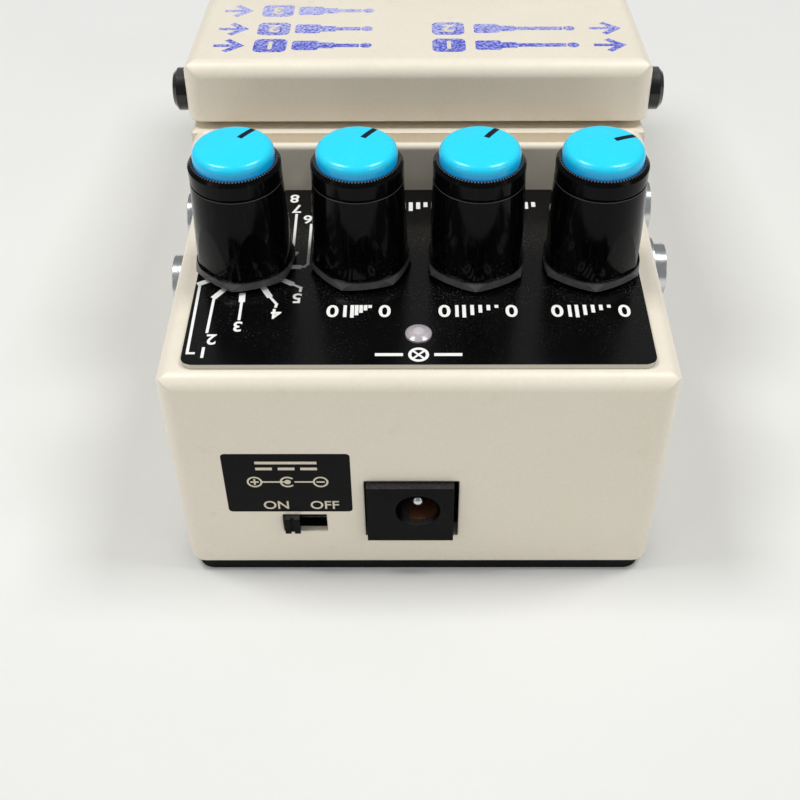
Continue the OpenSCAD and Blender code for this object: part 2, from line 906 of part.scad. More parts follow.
module lamp_lens() {
    dome_z = plate_z + 0.2;
    dome_r = (lamp_r * lamp_r + lamp_dome * lamp_dome) / (2 * lamp_dome);
    color("#d9dad6")
        union() {
            post(0, lamp_y, panel_top_z, deck_h + EPS, lamp_stem_r);
            post(0, lamp_y, deck_h, dome_z, lamp_r);
            intersection() {
                post(0, lamp_y, dome_z - EPS, dome_z + 1, lamp_r);
                translate([0, lamp_y, dome_z + lamp_dome - dome_r])
                    sphere(r = dome_r);
            }
        }
}

module jack_sleeve(s, i) {
    color("#d5d7da")
        difference() {
            bar_x(s * inner_x, s * side_x, jack_y[i], jack_z(s), jack_sleeve_r);
            bar_x(s * (inner_x - 1), s * (side_x + 1), jack_y[i], jack_z(s), jack_bore_r);
        }
}

module jack_body(s, i) {
    x0 = s * (inner_x - jack_body_l);
    x1 = s * inner_x;
    z0 = jack_z(s) - jack_body_h / 2;
    difference() {
        span([min(x0, x1), jack_y[i] - jack_body_w / 2, z0],
            [max(x0, x1), jack_y[i] + jack_body_w / 2, z0 + jack_body_h]);
        bar_x(s * (inner_x - jack_body_l + jack_end_t), s * (inner_x + 1), jack_y[i], jack_z(s),
            jack_chan_r);
    }
}

module jack_bodies() {
    color("#17171a") {
        for (i = [0 : 2])
            jack_body(1, i);
        for (i = [0 : 1])
            jack_body(-1, i);
    }
}

module jack_nut(s, i) {
    difference() {
        bar_x(s * half_w, s * (half_w + jack_nut_t), jack_y[i], jack_z(s), jack_nut_r);
        bar_x(s * (half_w - 1), s * (half_w + 2), jack_y[i], jack_z(s), jack_sleeve_r);
    }
}

module jack_nuts() {
    color("#c4c6c9") {
        for (i = [0 : 2])
            jack_nut(1, i);
        for (i = [0 : 1])
            jack_nut(-1, i);
    }
}

module dc_socket() {
    face_y = rear_y + dc_proud;
    color("#141416")
        difference() {
            span([dc_x0, rear_y - dc_deep, board_top_z], [dc_x1, face_y, dc_top_z]);
            translate([dc_bore_x, face_y - dc_bore_d, dc_bore_z])
                rotate([-90, 0, 0])
                    cylinder(r = dc_bore_r, h = dc_bore_d + 1);
            span([leaf_x - leaf_w / 2, face_y - dc_bore_d, dc_bore_z - dc_bore_r - leaf_t / 2],
                [leaf_x + leaf_w / 2, face_y - leaf_back, dc_bore_z]);
        }
}

module dc_pin() {
    tip_y = rear_y + dc_proud - 1.3;
    base_y = rear_y + dc_proud - dc_bore_d;
    color("#c9ccd0")
        translate([dc_bore_x, base_y, dc_bore_z])
            rotate([-90, 0, 0])
                union() {
                    cylinder(r = dc_pin_r, h = tip_y - base_y - dc_pin_r);
                    translate([0, 0, tip_y - base_y - dc_pin_r])
                        sphere(r = dc_pin_r);
                }
}

module dc_contact() {
    color("#b9783a")
        span([leaf_x - leaf_w / 2, rear_y + dc_proud - dc_bore_d, dc_bore_z - dc_bore_r - leaf_t / 2],
            [leaf_x + leaf_w / 2, rear_y + dc_proud - leaf_back, dc_bore_z - dc_bore_r + leaf_t / 2]);
}

module slide_switch() {
    shoe_x0 = slider_rest_x - slider_travel - shoe_over - shoe_gap;
    shoe_x1 = slider_rest_x + slider_w + shoe_over + shoe_gap;
    shoe_y1 = inner_rear_y - shoe_back;
    shell_t = 2;
    shell_d = 5.4;
    color("#8a8f96")
        difference() {
            span([shoe_x0 - shell_t, inner_rear_y - shell_d, board_top_z],
                [shoe_x1 + shell_t, inner_rear_y, slot_z0 + slot_h + shell_t]);
            span([shoe_x0, shoe_y1 - shoe_d - 2 * shoe_gap, slot_z0 + 0.1],
                [shoe_x1, shoe_y1, slot_z0 + slot_h - 0.1]);
            span([slot_x0, shoe_y1 - 1, slot_z0 + 0.1],
                [slot_x0 + slot_w, inner_rear_y + 1, slot_z0 + slot_h - 0.1]);
        }
}

module slide_knob() {
    shoe_y1 = inner_rear_y - shoe_back - shoe_gap;
    z0 = slot_z0 + 0.3;
    z1 = slot_z0 + slot_h - 0.3;
    tip_y = rear_y + slider_proud;
    groove_w = 0.5;
    groove_d = 0.35;
    color("#141416")
        difference() {
            union() {
                span([slider_rest_x - shoe_over, shoe_y1 - shoe_d, z0],
                    [slider_rest_x + slider_w + shoe_over, shoe_y1, z1]);
                span([slider_rest_x, shoe_y1 - EPS, z0], [slider_rest_x + slider_w, tip_y, z1]);
            }
            translate([slider_rest_x + slider_w / 2, tip_y, (z0 + z1) / 2])
                cube([groove_w, 2 * groove_d, slot_h], center = true);
        }
}

module bottom_plate() {
    color("#9a9da1")
        difference() {
            span([-half_w + rebate + RUN, case_front_y + rebate + RUN, plate_bottom_z],
                [half_w - rebate - RUN, rear_y - rebate - RUN, plate_top_z]);
            for (s = [-1, 1], y = [boss_rear_y, boss_front_y])
                post(s * boss_x, y, 0, plate_top_z + 1, bolt_r + RUN);
        }
}

module rubber_sole() {
    color("#17171a")
        difference() {
            translate([0, case_mid_y, 0])
                linear_extrude(height = sole_t)
                    round_rect(body_w - 2, case_d - 1, corner_r);
            for (s = [-1, 1], y = [boss_rear_y, boss_front_y])
                post(s * boss_x, y, -1, sole_t + 1, bolt_head_r + bolt_head_room);
        }
}

module bottom_screws() {
    color("#b9bcc0")
        for (s = [-1, 1], y = [boss_rear_y, boss_front_y])
            difference() {
                union() {
                    post(s * boss_x, y, sole_t - bolt_head_t, sole_t, bolt_head_r);
                    post(s * boss_x, y, sole_t - EPS, plate_top_z + bolt_l - 0.5, bolt_r);
                }
                translate([s * boss_x, y, sole_t - bolt_head_t]) {
                    cube([cross_l, cross_w, 2 * cross_d], center = true);
                    cube([cross_w, cross_l, 2 * cross_d], center = true);
                }
            }
}

module shaft(i) {
    color("#c4c6c9")
        post(knob_x[i], knob_y, shaft_end_z, shaft_top_z, shaft_r);
}

// six bowed sides between corners at radius r, their middles at mid times that radius
module bowed_side(r, mid, k) {
    bow = mid - cos(30);
    side_r = (0.25 + bow * bow) / (2 * bow);
    rotate(60 * k + 30)
        translate([(mid - side_r) * r, 0])
            circle(r = side_r * r);
}

module bowed_hexagon(r, mid) {
    intersection() {
        bowed_side(r, mid, 0);
        bowed_side(r, mid, 1);
        bowed_side(r, mid, 2);
        bowed_side(r, mid, 3);
        bowed_side(r, mid, 4);
        bowed_side(r, mid, 5);
    }
}

module knob(i) {
    skirt_taper = 0.4;
    seam_depth = 0.25;
    chamfer = 0.5;
    color("#101012")
        translate([knob_x[i], knob_y, 0])
            difference() {
                union() {
                    rotate([0, 0, 90 + skirt_turn[i]]) {
                        intersection() {
                            translate([0, 0, knob_z])
                                linear_extrude(height = skirt_h_k)
                                    bowed_hexagon(skirt_r, skirt_mid);
                            translate([0, 0, knob_z])
                                cylinder(r1 = skirt_r + FIT, r2 = skirt_r - skirt_taper, h = skirt_h_k);
                        }
                        intersection() {
                            translate([0, 0, knob_z])
                                linear_extrude(height = knob_h)
                                    bowed_hexagon(knob_base_r, knob_mid);
                            translate([0, 0, knob_z])
                                cylinder(r1 = knob_base_r + FIT, r2 = collar_r, h = knob_h);
                        }
                    }
                    translate([0, 0, seam_z - EPS])
                        cylinder(r = collar_r - seam_depth, h = seam_w + 2 * EPS);
                    translate([0, 0, seam_z + seam_w])
                        cylinder(r = collar_r, h = collar_h - seam_w - chamfer);
                    translate([0, 0, collar_z - chamfer])
                        cylinder(r1 = collar_r, r2 = collar_r - chamfer, h = chamfer);
                }
                translate([0, 0, knob_z - 1])
                    cylinder(r = knob_recess_r, h = knob_recess_z - knob_z + 1);
                translate([0, 0, knob_z])
                    cylinder(r = shaft_r, h = shaft_top_z - knob_z);
                translate([0, 0, collar_z - cap_seat])
                    cylinder(r = cap_r, h = cap_seat + 1);
            }
}

// shallow dome that runs into a rounded shoulder and a short upright side
module cap_solid(i) {
    dome_r = (cap_r * cap_r + cap_dome * cap_dome) / (2 * cap_dome);
    dome_z = cap_h - dome_r;
    shoulder_x = cap_r - cap_round;
    reach = dome_r - cap_round;
    shoulder_z = dome_z + sqrt(reach * reach - shoulder_x * shoulder_x);
    translate([knob_x[i], knob_y, collar_z - cap_seat])
        rotate_extrude()
            union() {
                square([cap_r, shoulder_z]);
                translate([shoulder_x, shoulder_z])
                    circle(r = cap_round);
                intersection() {
                    square([shoulder_x * dome_r / reach, cap_h]);
                    translate([0, dome_z])
                        circle(r = dome_r, $fn = 192);
                }
            }
}

module pointer_bar(i) {
    translate([knob_x[i], knob_y, collar_z + cap_rise - pointer_depth])
        rotate([0, 0, pointer_turn[i]])
            translate([-pointer_w / 2, pointer_in_r, 0])
                cube([pointer_w, cap_r, cap_h]);
}

module cap(i) {
    color("#25c6ea")
        difference() {
            cap_solid(i);
            pointer_bar(i);
        }
}

module pointer(i) {
    color("#141c3c")
        intersection() {
            cap_solid(i);
            pointer_bar(i);
        }
}

case();
control_plate();
treadle();
treadle_pad();
hinge_bush(-1);  // hinge_bush_left
hinge_bush(1);  // hinge_bush_right
hinge_clips();
guide_bush();
thumbscrew();
screw_ring();
return_spring();
foot_switch();
foot_plunger();
battery();
battery_snap();
main_board();
board_parts();
board_spacers();
board_header();
panel_board();
jack_board(1, 3);  // jack_board_in
jack_board(-1, 2);  // jack_board_out
mode_switch();
pots();
pot_nuts();
pot_washers();
lamp_lens();
jack_sleeve(1, 0);  // jack_in_1
jack_sleeve(1, 1);  // jack_in_2
jack_sleeve(1, 2);  // jack_in_3
jack_sleeve(-1, 0);  // jack_out_1
jack_sleeve(-1, 1);  // jack_out_2
jack_bodies();
jack_nuts();
dc_socket();
dc_pin();
dc_contact();
slide_switch();
slide_knob();
bottom_plate();
rubber_sole();
bottom_screws();
shaft(0);  // shaft_mode
shaft(1);  // shaft_time
shaft(2);  // shaft_feedback
shaft(3);  // shaft_level
knob(0);  // knob_mode
knob(1);  // knob_time
knob(2);  // knob_feedback
knob(3);  // knob_level
cap(0);  // cap_mode
cap(1);  // cap_time
cap(2);  // cap_feedback
cap(3);  // cap_level
pointer(0);  // pointer_mode
pointer(1);  // pointer_time
pointer(2);  // pointer_feedback
pointer(3);  // pointer_level
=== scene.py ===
"""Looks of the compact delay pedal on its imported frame: finishes, plain print, a studio view."""

import json
import math

import bmesh
import bpy
from mathutils import Matrix, Vector


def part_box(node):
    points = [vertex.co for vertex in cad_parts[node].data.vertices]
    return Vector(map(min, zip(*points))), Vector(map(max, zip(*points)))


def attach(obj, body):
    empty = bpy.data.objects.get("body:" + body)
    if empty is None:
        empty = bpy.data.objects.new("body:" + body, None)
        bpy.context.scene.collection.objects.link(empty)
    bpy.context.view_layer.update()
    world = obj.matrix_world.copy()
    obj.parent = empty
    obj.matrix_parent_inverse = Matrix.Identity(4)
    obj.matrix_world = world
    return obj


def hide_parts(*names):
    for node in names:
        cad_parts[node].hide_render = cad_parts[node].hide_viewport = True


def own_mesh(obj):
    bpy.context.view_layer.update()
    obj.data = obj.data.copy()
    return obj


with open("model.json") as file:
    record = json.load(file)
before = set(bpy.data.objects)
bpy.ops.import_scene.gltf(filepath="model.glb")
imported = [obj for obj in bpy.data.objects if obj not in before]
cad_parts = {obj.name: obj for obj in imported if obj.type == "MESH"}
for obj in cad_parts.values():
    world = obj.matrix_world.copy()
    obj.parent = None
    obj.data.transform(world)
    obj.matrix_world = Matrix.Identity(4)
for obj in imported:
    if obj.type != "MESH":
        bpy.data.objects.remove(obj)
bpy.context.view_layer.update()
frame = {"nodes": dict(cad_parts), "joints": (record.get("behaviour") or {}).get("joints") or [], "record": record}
MM = 0.001
KNOBS = ["mode", "time", "feedback", "level"]

# Places read from the frame, in millimetres.
PLATE_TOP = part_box("control_plate")[1].z / MM
REAR_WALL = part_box("case")[1].y / MM
COLLAR_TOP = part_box("knob_mode")[1].z / MM
CAP_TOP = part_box("cap_mode")[1].z / MM
KNOB_AXIS = {
    joint["child"].removeprefix("control_"): Vector(joint["pos_m"]) / MM
    for joint in frame["joints"]
    if joint["child"].startswith("control_")
}
LAMP_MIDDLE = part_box("lamp_lens")[0].lerp(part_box("lamp_lens")[1], 0.5) / MM

# The treadle's upper rear edge, in millimetres, and how far its top slopes down from there.
TREADLE_EDGE = Vector((0.0, 14.4, 56.8))
TREADLE_SLOPE = math.radians(6.0)

# Heights on a knob, in millimetres: top of its foot lip, and the body's edge just under the seam.
FOOT_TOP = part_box("knob_mode")[0].z / MM + 1.3
# The body's edge under the seam is where a painted highlight runs.
SEAM_EDGE = COLLAR_TOP - 2.78

# Where the hinge bushes' heads begin at each side, in millimetres.
BUSH_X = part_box("treadle")[1].x / MM

# Painted shade inside the slide switch's slot, in millimetres: its middle and half its size each way.
SLIDE_LOW, SLIDE_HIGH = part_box("slide_knob")
SLOT_SHADE_X, SLOT_SHADE_HALF_W = 16.33, 3.3
SLOT_SHADE_Y, SLOT_SHADE_HALF_D = REAR_WALL - 3.4, 2.5
SLOT_SHADE_Z, SLOT_SHADE_HALF_H = (SLIDE_LOW.z + SLIDE_HIGH.z) / 2 / MM, 2.0

# Thickness of an ink film, drawn thick enough to stand clear of the surface below it, and shares
# of it for strokes that cross others, so that no two tops lie in one plane.
INK = 0.03
LEADER_FILM, CROSS_FILM, UNDER_FILM = 0.9 * INK, 0.8 * INK, 0.7 * INK

# Points nearer than this are merged, in millimetres.
ONE_POINT = 0.00001

NOISE, CELLS, BRICKS = "ShaderNodeTexNoise", "ShaderNodeTexVoronoi", "ShaderNodeTexBrick"
RANGE, MATH, VECTOR_MATH = "ShaderNodeMapRange", "ShaderNodeMath", "ShaderNodeVectorMath"
BUMP, BEVEL, GEOMETRY = "ShaderNodeBump", "ShaderNodeBevel", "ShaderNodeNewGeometry"
MIX, MAPPING, AXES = "ShaderNodeMix", "ShaderNodeMapping", "ShaderNodeSeparateXYZ"

# A mix of two colours: its setting, and the numbers of its sockets and of its output.
COLOURS = {"data_type": "RGBA"}
FACTOR, UNDER, OVER, BLEND = 0, 6, 7, 2

# The stretch that holds most values of a noise, which a range spreads over its results.
MOST = {"From Min": 0.3, "From Max": 0.7}

# Rays that round an edge in a finish.
EDGE_RAYS = 4


def colour(text):
    """Turns an sRGB hex colour to the linear one that sockets take."""
    channels = [int(text[i : i + 2], 16) / 255 for i in (1, 3, 5)]
    return (*[c / 12.92 if c <= 0.04045 else ((c + 0.055) / 1.055) ** 2.4 for c in channels], 1.0)


def every(size_mm):
    """Texture scale at which a pattern repeats about every size_mm."""
    return 1 / (size_mm * MM)


def add(tree, kind, output, inputs, **settings):
    """Adds one node with its settings, sets or links its inputs, and gives back one output.

    Inputs go by name, or by number where a node has several of one name.
    """
    node = tree.nodes.new(kind)
    for key, value in settings.items():
        setattr(node, key, value)
    for key, value in inputs.items():
        if isinstance(value, bpy.types.NodeSocket):
            tree.links.new(value, node.inputs[key])
        else:
            node.inputs[key].default_value = value
    return node.outputs[output]


def start(name, **sockets):
    """Starts a material with its even sockets set.

    Gives the material, its tree, its shader and the Object coordinates.
    """
    material = bpy.data.materials.new(name)
    material.use_nodes = True
    tree = material.node_tree
    skin = tree.nodes["Principled BSDF"]
    for key, value in sockets.items():
        skin.inputs[key.replace("_", " ")].default_value = value
    return material, tree, skin, add(tree, "ShaderNodeTexCoord", "Object", {})


def dress(tree, skin, **outputs):
    """Links finished outputs to the shader's sockets."""
    for key, output in outputs.items():
        tree.links.new(output, skin.inputs[key.replace("_", " ")])


def rounded_edges(tree, radius_mm, flat, sharp, full=1.0):
    """Rounds the edges of a finish; gives the rounded normal, and a mask of the edges.

    The mask is 0 where the rounded normal is as like the true one as flat says, and full where it
    is only as like as sharp says.
    """
    softened = add(tree, BEVEL, "Normal", {"Radius": radius_mm * MM}, samples=EDGE_RAYS)
    facing = add(tree, GEOMETRY, "Normal", {})
    likeness = add(tree, VECTOR_MATH, "Value", {0: softened, 1: facing}, operation="DOT_PRODUCT")
    span = {"From Min": flat, "From Max": sharp, "To Max": full}
    return softened, add(tree, RANGE, "Result", {"Value": likeness, **span})


def pearl_enamel():
    # Pearl enamel sprayed on a casting: warm ivory with a fine flake grain, a soft sheen and edges
    # rubbed pale.
    even = {"Metallic": 0.05, "Coat_Weight": 0.25, "Coat_Roughness": 0.2}
    material, tree, skin, at = start("pearl_ivory_enamel", **even)
    cloud = add(tree, NOISE, "Fac", {"Vector": at, "Scale": every(18), "Detail": 3.0})
    # The flake is under 0.1 mm across; it is drawn at 0.24 mm so that its grain shows.
    flake = add(tree, CELLS, "Color", {"Vector": at, "Scale": every(0.24)})
    grain = add(tree, RANGE, "Result", {"Value": flake, "From Min": 0.3, "From Max": 0.95,
                                        "To Max": 0.3})
    handled = add(tree, NOISE, "Fac", {"Vector": at, "Scale": every(7), "Detail": 6.0,
                                       "Roughness": 0.7})
    grime = add(tree, RANGE, "Result", {"Value": handled, "From Min": 0.58, "From Max": 0.78,
                                        "To Max": 0.22})
    softened, edge = rounded_edges(tree, radius_mm=0.35, flat=0.985, sharp=0.9)
    knocks = add(tree, NOISE, "Fac", {"Vector": at, "Scale": every(1.3), "Detail": 4.0,
                                      "Roughness": 0.65})
    knocked = add(tree, RANGE, "Result", {"Value": knocks, "From Min": 0.5, "From Max": 0.66})
    rubbed = add(tree, MATH, "Value", {0: edge, 1: knocked}, operation="MULTIPLY")
    body = add(tree, MIX, BLEND, {FACTOR: cloud, UNDER: colour("#e8dec9"), OVER: colour("#efe6d5")},
               **COLOURS)
    grained = add(tree, MIX, BLEND, {FACTOR: grain, UNDER: body, OVER: colour("#f6f0e4")},
                  **COLOURS)
    used = add(tree, MIX, BLEND, {FACTOR: grime, UNDER: grained, OVER: colour("#c3b59a")},
               **COLOURS)
    worn = add(tree, MIX, BLEND, {FACTOR: rubbed, UNDER: used, OVER: colour("#f8f5ee")}, **COLOURS)
    # Behind its painted front edge, the slide switch's slot is coloured near black as painted shade.
    place = add(tree, MAPPING, "Vector", {"Vector": at, "Scale": (1 / MM, 1 / MM, 1 / MM)})
    x = add(tree, AXES, "X", {"Vector": place})
    y = add(tree, AXES, "Y", {"Vector": place})
    z = add(tree, AXES, "Z", {"Vector": place})
    across = add(tree, MATH, "Value", {0: x, 1: SLOT_SHADE_X, 2: SLOT_SHADE_HALF_W}, operation="COMPARE")
    upward = add(tree, MATH, "Value", {0: z, 1: SLOT_SHADE_Z, 2: SLOT_SHADE_HALF_H}, operation="COMPARE")
    behind = add(tree, MATH, "Value", {0: y, 1: SLOT_SHADE_Y, 2: SLOT_SHADE_HALF_D}, operation="COMPARE")
    opening = add(tree, MATH, "Value", {0: across, 1: upward}, operation="MULTIPLY")
    slot_shade = add(tree, MATH, "Value", {0: opening, 1: behind}, operation="MULTIPLY")
    with_painted_light = add(tree, MIX, BLEND, {FACTOR: slot_shade, UNDER: worn, OVER: colour("#0b0b0b")}, **COLOURS)
    wipe = add(tree, NOISE, "Fac", {"Vector": at, "Scale": every(2.4), "Detail": 4.0})
    rough = add(tree, RANGE, "Result", {"Value": wipe, **MOST, "To Min": 0.3, "To Max": 0.42})
    peel = add(tree, NOISE, "Fac", {"Vector": at, "Scale": every(0.9), "Detail": 2.0})
    normal = add(tree, BUMP, "Normal", {"Height": peel, "Distance": 0.004 * MM, "Normal": softened})
    dress(tree, skin, Base_Color=with_painted_light, Roughness=rough, Normal=normal)
    return material


def printed_plate():
    # Aluminium sheet, screen-printed gloss black: deep black with settled dust and a wiped haze,
    # and bare metal at its cut edge.
    material, tree, skin, at = start("screen_printed_aluminium", Specular_IOR_Level=0.35)
    specks = add(tree, NOISE, "Fac", {"Vector": at, "Scale": every(0.22), "Detail": 2.0,
                                      "Roughness": 0.6})
    settled = add(tree, RANGE, "Result", {"Value": specks, "From Min": 0.6, "From Max": 0.72})
    drifts = add(tree, NOISE, "Fac", {"Vector": at, "Scale": every(8), "Detail": 3.0})
    drift = add(tree, RANGE, "Result", {"Value": drifts, "From Min": 0.36, "From Max": 0.66,
                                        "To Min": 0.1})
    # Dust gathers within 5 mm of the knobs' row and is wiped thin from 11 mm on.
    along = add(tree, AXES, "Y", {"Vector": at})
    away = add(tree, MATH, "Value", {0: along, 1: KNOB_AXIS["mode"].y * MM}, operation="SUBTRACT")
    apart = add(tree, MATH, "Value", {0: away}, operation="ABSOLUTE")
    sheltered = add(tree, RANGE, "Result", {"Value": apart, "From Min": 11 * MM, "From Max": 5 * MM,
                                            "To Min": 0.25})
    gathered = add(tree, MATH, "Value", {0: drift, 1: sheltered}, operation="MULTIPLY")
    dust = add(tree, MATH, "Value", {0: settled, 1: gathered}, operation="MULTIPLY")
    upright = add(tree, AXES, "Z", {"Vector": add(tree, GEOMETRY, "Normal", {})})
    level = add(tree, MATH, "Value", {0: upright}, operation="ABSOLUTE")
    cut = add(tree, RANGE, "Result", {"Value": level, "From Min": 0.6, "From Max": 0.3})
    face = add(tree, MIX, BLEND, {FACTOR: dust, UNDER: colour("#070708"), OVER: colour("#6a6762")},
               **COLOURS)
    base = add(tree, MIX, BLEND, {FACTOR: cut, UNDER: face, OVER: colour("#b9b8b5")}, **COLOURS)
    wipe = add(tree, NOISE, "Fac", {"Vector": at, "Scale": every(11), "Detail": 5.0})
    haze = add(tree, RANGE, "Result", {"Value": wipe, **MOST, "To Min": 0.14, "To Max": 0.27})
    rough = add(tree, MATH, "Value", {0: dust, 1: 0.5, 2: haze}, operation="MULTIPLY_ADD")
    softened = add(tree, BEVEL, "Normal", {"Radius": 0.12 * MM}, samples=EDGE_RAYS)
    normal = add(tree, BUMP, "Normal", {"Height": dust, "Distance": 0.01 * MM, "Normal": softened})
    dress(tree, skin, Base_Color=base, Metallic=cut, Roughness=rough, Normal=normal)
    return material


def polished_knob():
    # ABS from a polished mould: deep black gloss with hairline streaks and a foot lip worn grey;
    # painted highlights on the lip's edges, under the seam and on the knurl tips.
    material, tree, skin, at = start("gloss_black_abs", Specular_IOR_Level=0.1)
    # In millimetres: the lip's fade, the dust's height, half the painted seam highlight's width, and the tips.
    fade, dust_h, seam_half, tip_low, tip_high = 0.3, 5.0, 0.06, 0.04, 0.1
    height = add(tree, AXES, "Z", {"Vector": at})
    foot = add(tree, RANGE, "Result", {"Value": height, "From Min": FOOT_TOP * MM,
                                       "From Max": (FOOT_TOP - fade) * MM})
    low = add(tree, RANGE, "Result", {"Value": height, "From Min": (FOOT_TOP + dust_h) * MM,
                                      "From Max": FOOT_TOP * MM})
    # Painted highlight: a thin lighter band on the body's edge under the seam, as if it caught light.
    seam_highlight = add(tree, MATH, "Value", {0: height, 1: SEAM_EDGE * MM, 2: seam_half * MM},
               operation="COMPARE")
    upright = add(tree, MAPPING, "Vector", {"Vector": at, "Scale": (1.0, 1.0, 0.08)})
    hairs = add(tree, NOISE, "Fac", {"Vector": upright, "Scale": every(0.55), "Detail": 4.0,
                                     "Roughness": 0.65})
    streak = add(tree, RANGE, "Result", {"Value": hairs, "From Min": 0.56, "From Max": 0.78})
    specks = add(tree, NOISE, "Fac", {"Vector": at, "Scale": every(0.5), "Detail": 4.0,
                                      "Roughness": 0.65})
    settled = add(tree, RANGE, "Result", {"Value": specks, "From Min": 0.57, "From Max": 0.78,
                                          "To Max": 0.45})
    dust = add(tree, MATH, "Value", {0: low, 1: settled}, operation="MULTIPLY")
    softened, edge = rounded_edges(tree, radius_mm=0.14, flat=0.98, sharp=0.86)
    clouds = add(tree, NOISE, "Fac", {"Vector": at, "Scale": every(2.2), "Detail": 4.0})
    black = add(tree, MIX, BLEND, {FACTOR: streak, UNDER: colour("#050506"),
                                   OVER: colour("#161617")}, **COLOURS)
    dusty = add(tree, MIX, BLEND, {FACTOR: dust, UNDER: black, OVER: colour("#5f5d58")}, **COLOURS)
    with_painted_light = add(tree, MIX, BLEND, {FACTOR: seam_highlight, UNDER: dusty, OVER: colour("#464648")}, **COLOURS)
    grey = add(tree, MIX, BLEND, {FACTOR: clouds, UNDER: colour("#3c3c3e"),
                                  OVER: colour("#6c6c6e")}, **COLOURS)
    # Painted highlight on the lip's edges, laid over its worn grey.
    lip_and_highlight = add(tree, MIX, BLEND, {FACTOR: edge, UNDER: grey, OVER: colour("#b8b8ba")}, **COLOURS)
    footed = add(tree, MIX, BLEND, {FACTOR: foot, UNDER: with_painted_light, OVER: lip_and_highlight}, **COLOURS)
    # Painted highlight on the tips of the knurl teeth, which rise above the collar's top.
    tip_highlight = add(tree, RANGE, "Result", {"Value": height, "From Min": (COLLAR_TOP + tip_low) * MM,
                                       "From Max": (COLLAR_TOP + tip_high) * MM})
    base = add(tree, MIX, BLEND, {FACTOR: tip_highlight, UNDER: footed, OVER: colour("#6e6e70")}, **COLOURS)
    haze = add(tree, RANGE, "Result", {"Value": streak, "To Min": 0.12, "To Max": 0.26})
    rough = add(tree, MATH, "Value", {0: dust, 1: 0.5, 2: haze}, operation="MULTIPLY_ADD")
    normal = add(tree, BUMP, "Normal", {"Height": streak, "Distance": 0.005 * MM,
                                        "Normal": softened})
    dress(tree, skin, Base_Color=base, Roughness=rough, Normal=normal)
    return material


def dyed_cap():
    # ABS dyed cyan right through, from a spark-grained mould: satin; painted light makes it bright
    # on the crown and deeper on the shoulder.
    even = {"Specular_IOR_Level": 0.4, "Coat_Weight": 0.1, "Coat_Roughness": 0.1}
    material, tree, skin, at = start("satin_cyan_abs", **even)
    # Painted light: the shoulder's deeper tone gives way to the crown's bright one up to 0.6 mm below the top.
    height = add(tree, AXES, "Z", {"Vector": at})
    crown_painted_light = add(tree, RANGE, "Result", {"Value": height, "From Min": COLLAR_TOP * MM,
                                        "From Max": (CAP_TOP - 0.6) * MM})
    tone = add(tree, MIX, BLEND, {FACTOR: crown_painted_light, UNDER: colour("#0098ea"), OVER: colour("#22d6f6")},
               **COLOURS)
    clouds = add(tree, NOISE, "Fac", {"Vector": at, "Scale": every(3), "Detail": 4.0})
    bloom = add(tree, RANGE, "Result", {"Value": clouds, "From Min": 0.5, "From Max": 0.8,
                                        "To Max": 0.2})
    base = add(tree, MIX, BLEND, {FACTOR: bloom, UNDER: tone, OVER: colour("#3fe2fc")}, **COLOURS)
    wipe = add(tree, NOISE, "Fac", {"Vector": at, "Scale": every(1.2), "Detail": 3.0})
    rough = add(tree, RANGE, "Result", {"Value": wipe, **MOST, "To Min": 0.22, "To Max": 0.3})
    grain = add(tree, NOISE, "Fac", {"Vector": at, "Scale": every(0.2), "Detail": 2.0})
    normal = add(tree, BUMP, "Normal", {"Height": grain, "Distance": 0.004 * MM})
    dress(tree, skin, Base_Color=base, Roughness=rough, Normal=normal)
    return material


def inlaid_pointer():
    # Acrylic inlay, flush with the cap: almost black navy with a low gloss and faint wiping.
    material, tree, skin, at = start("navy_acrylic_inlay", Specular_IOR_Level=0.2)
    clouds = add(tree, NOISE, "Fac", {"Vector": at, "Scale": every(1.8), "Detail": 4.0})
    base = add(tree, MIX, BLEND, {FACTOR: clouds, UNDER: colour("#060a1c"),
                                  OVER: colour("#0c1634")}, **COLOURS)
    rough = add(tree, RANGE, "Result", {"Value": clouds, **MOST, "To Min": 0.28, "To Max": 0.4})
    grain = add(tree, NOISE, "Fac", {"Vector": at, "Scale": every(0.25), "Detail": 3.0})
    normal = add(tree, BUMP, "Normal", {"Height": grain, "Distance": 0.004 * MM})
    dress(tree, skin, Base_Color=base, Roughness=rough, Normal=normal)
    return material


def moulded_rubber():
    # Nitrile rubber, press moulded: matt black with a chalky bloom, a sand grain and grey rims.
    material, tree, skin, at = start("black_nitrile_rubber", Specular_IOR_Level=0.15)
    bloom = add(tree, NOISE, "Fac", {"Vector": at, "Scale": every(9), "Detail": 5.0,
                                     "Roughness": 0.6})
    chalk = add(tree, RANGE, "Result", {"Value": bloom, "From Min": 0.42, "From Max": 0.72})
    softened, rim = rounded_edges(tree, radius_mm=0.3, flat=0.98, sharp=0.85, full=0.6)
    black = add(tree, MIX, BLEND, {FACTOR: chalk, UNDER: colour("#0b0b0c"),
                                   OVER: colour("#1b1b1c")}, **COLOURS)
    base = add(tree, MIX, BLEND, {FACTOR: rim, UNDER: black, OVER: colour("#3d3d3e")}, **COLOURS)
    rough = add(tree, RANGE, "Result", {"Value": bloom, **MOST, "To Min": 0.62, "To Max": 0.8})
    # The sand grain is near 0.1 mm; it is drawn at 0.25 mm so that it shows.
    sand = add(tree, NOISE, "Fac", {"Vector": at, "Scale": every(0.25), "Detail": 3.0,
                                    "Roughness": 0.6})
    normal = add(tree, BUMP, "Normal", {"Height": sand, "Distance": 0.035 * MM, "Normal": softened})
    dress(tree, skin, Base_Color=base, Roughness=rough, Normal=normal)
    return material


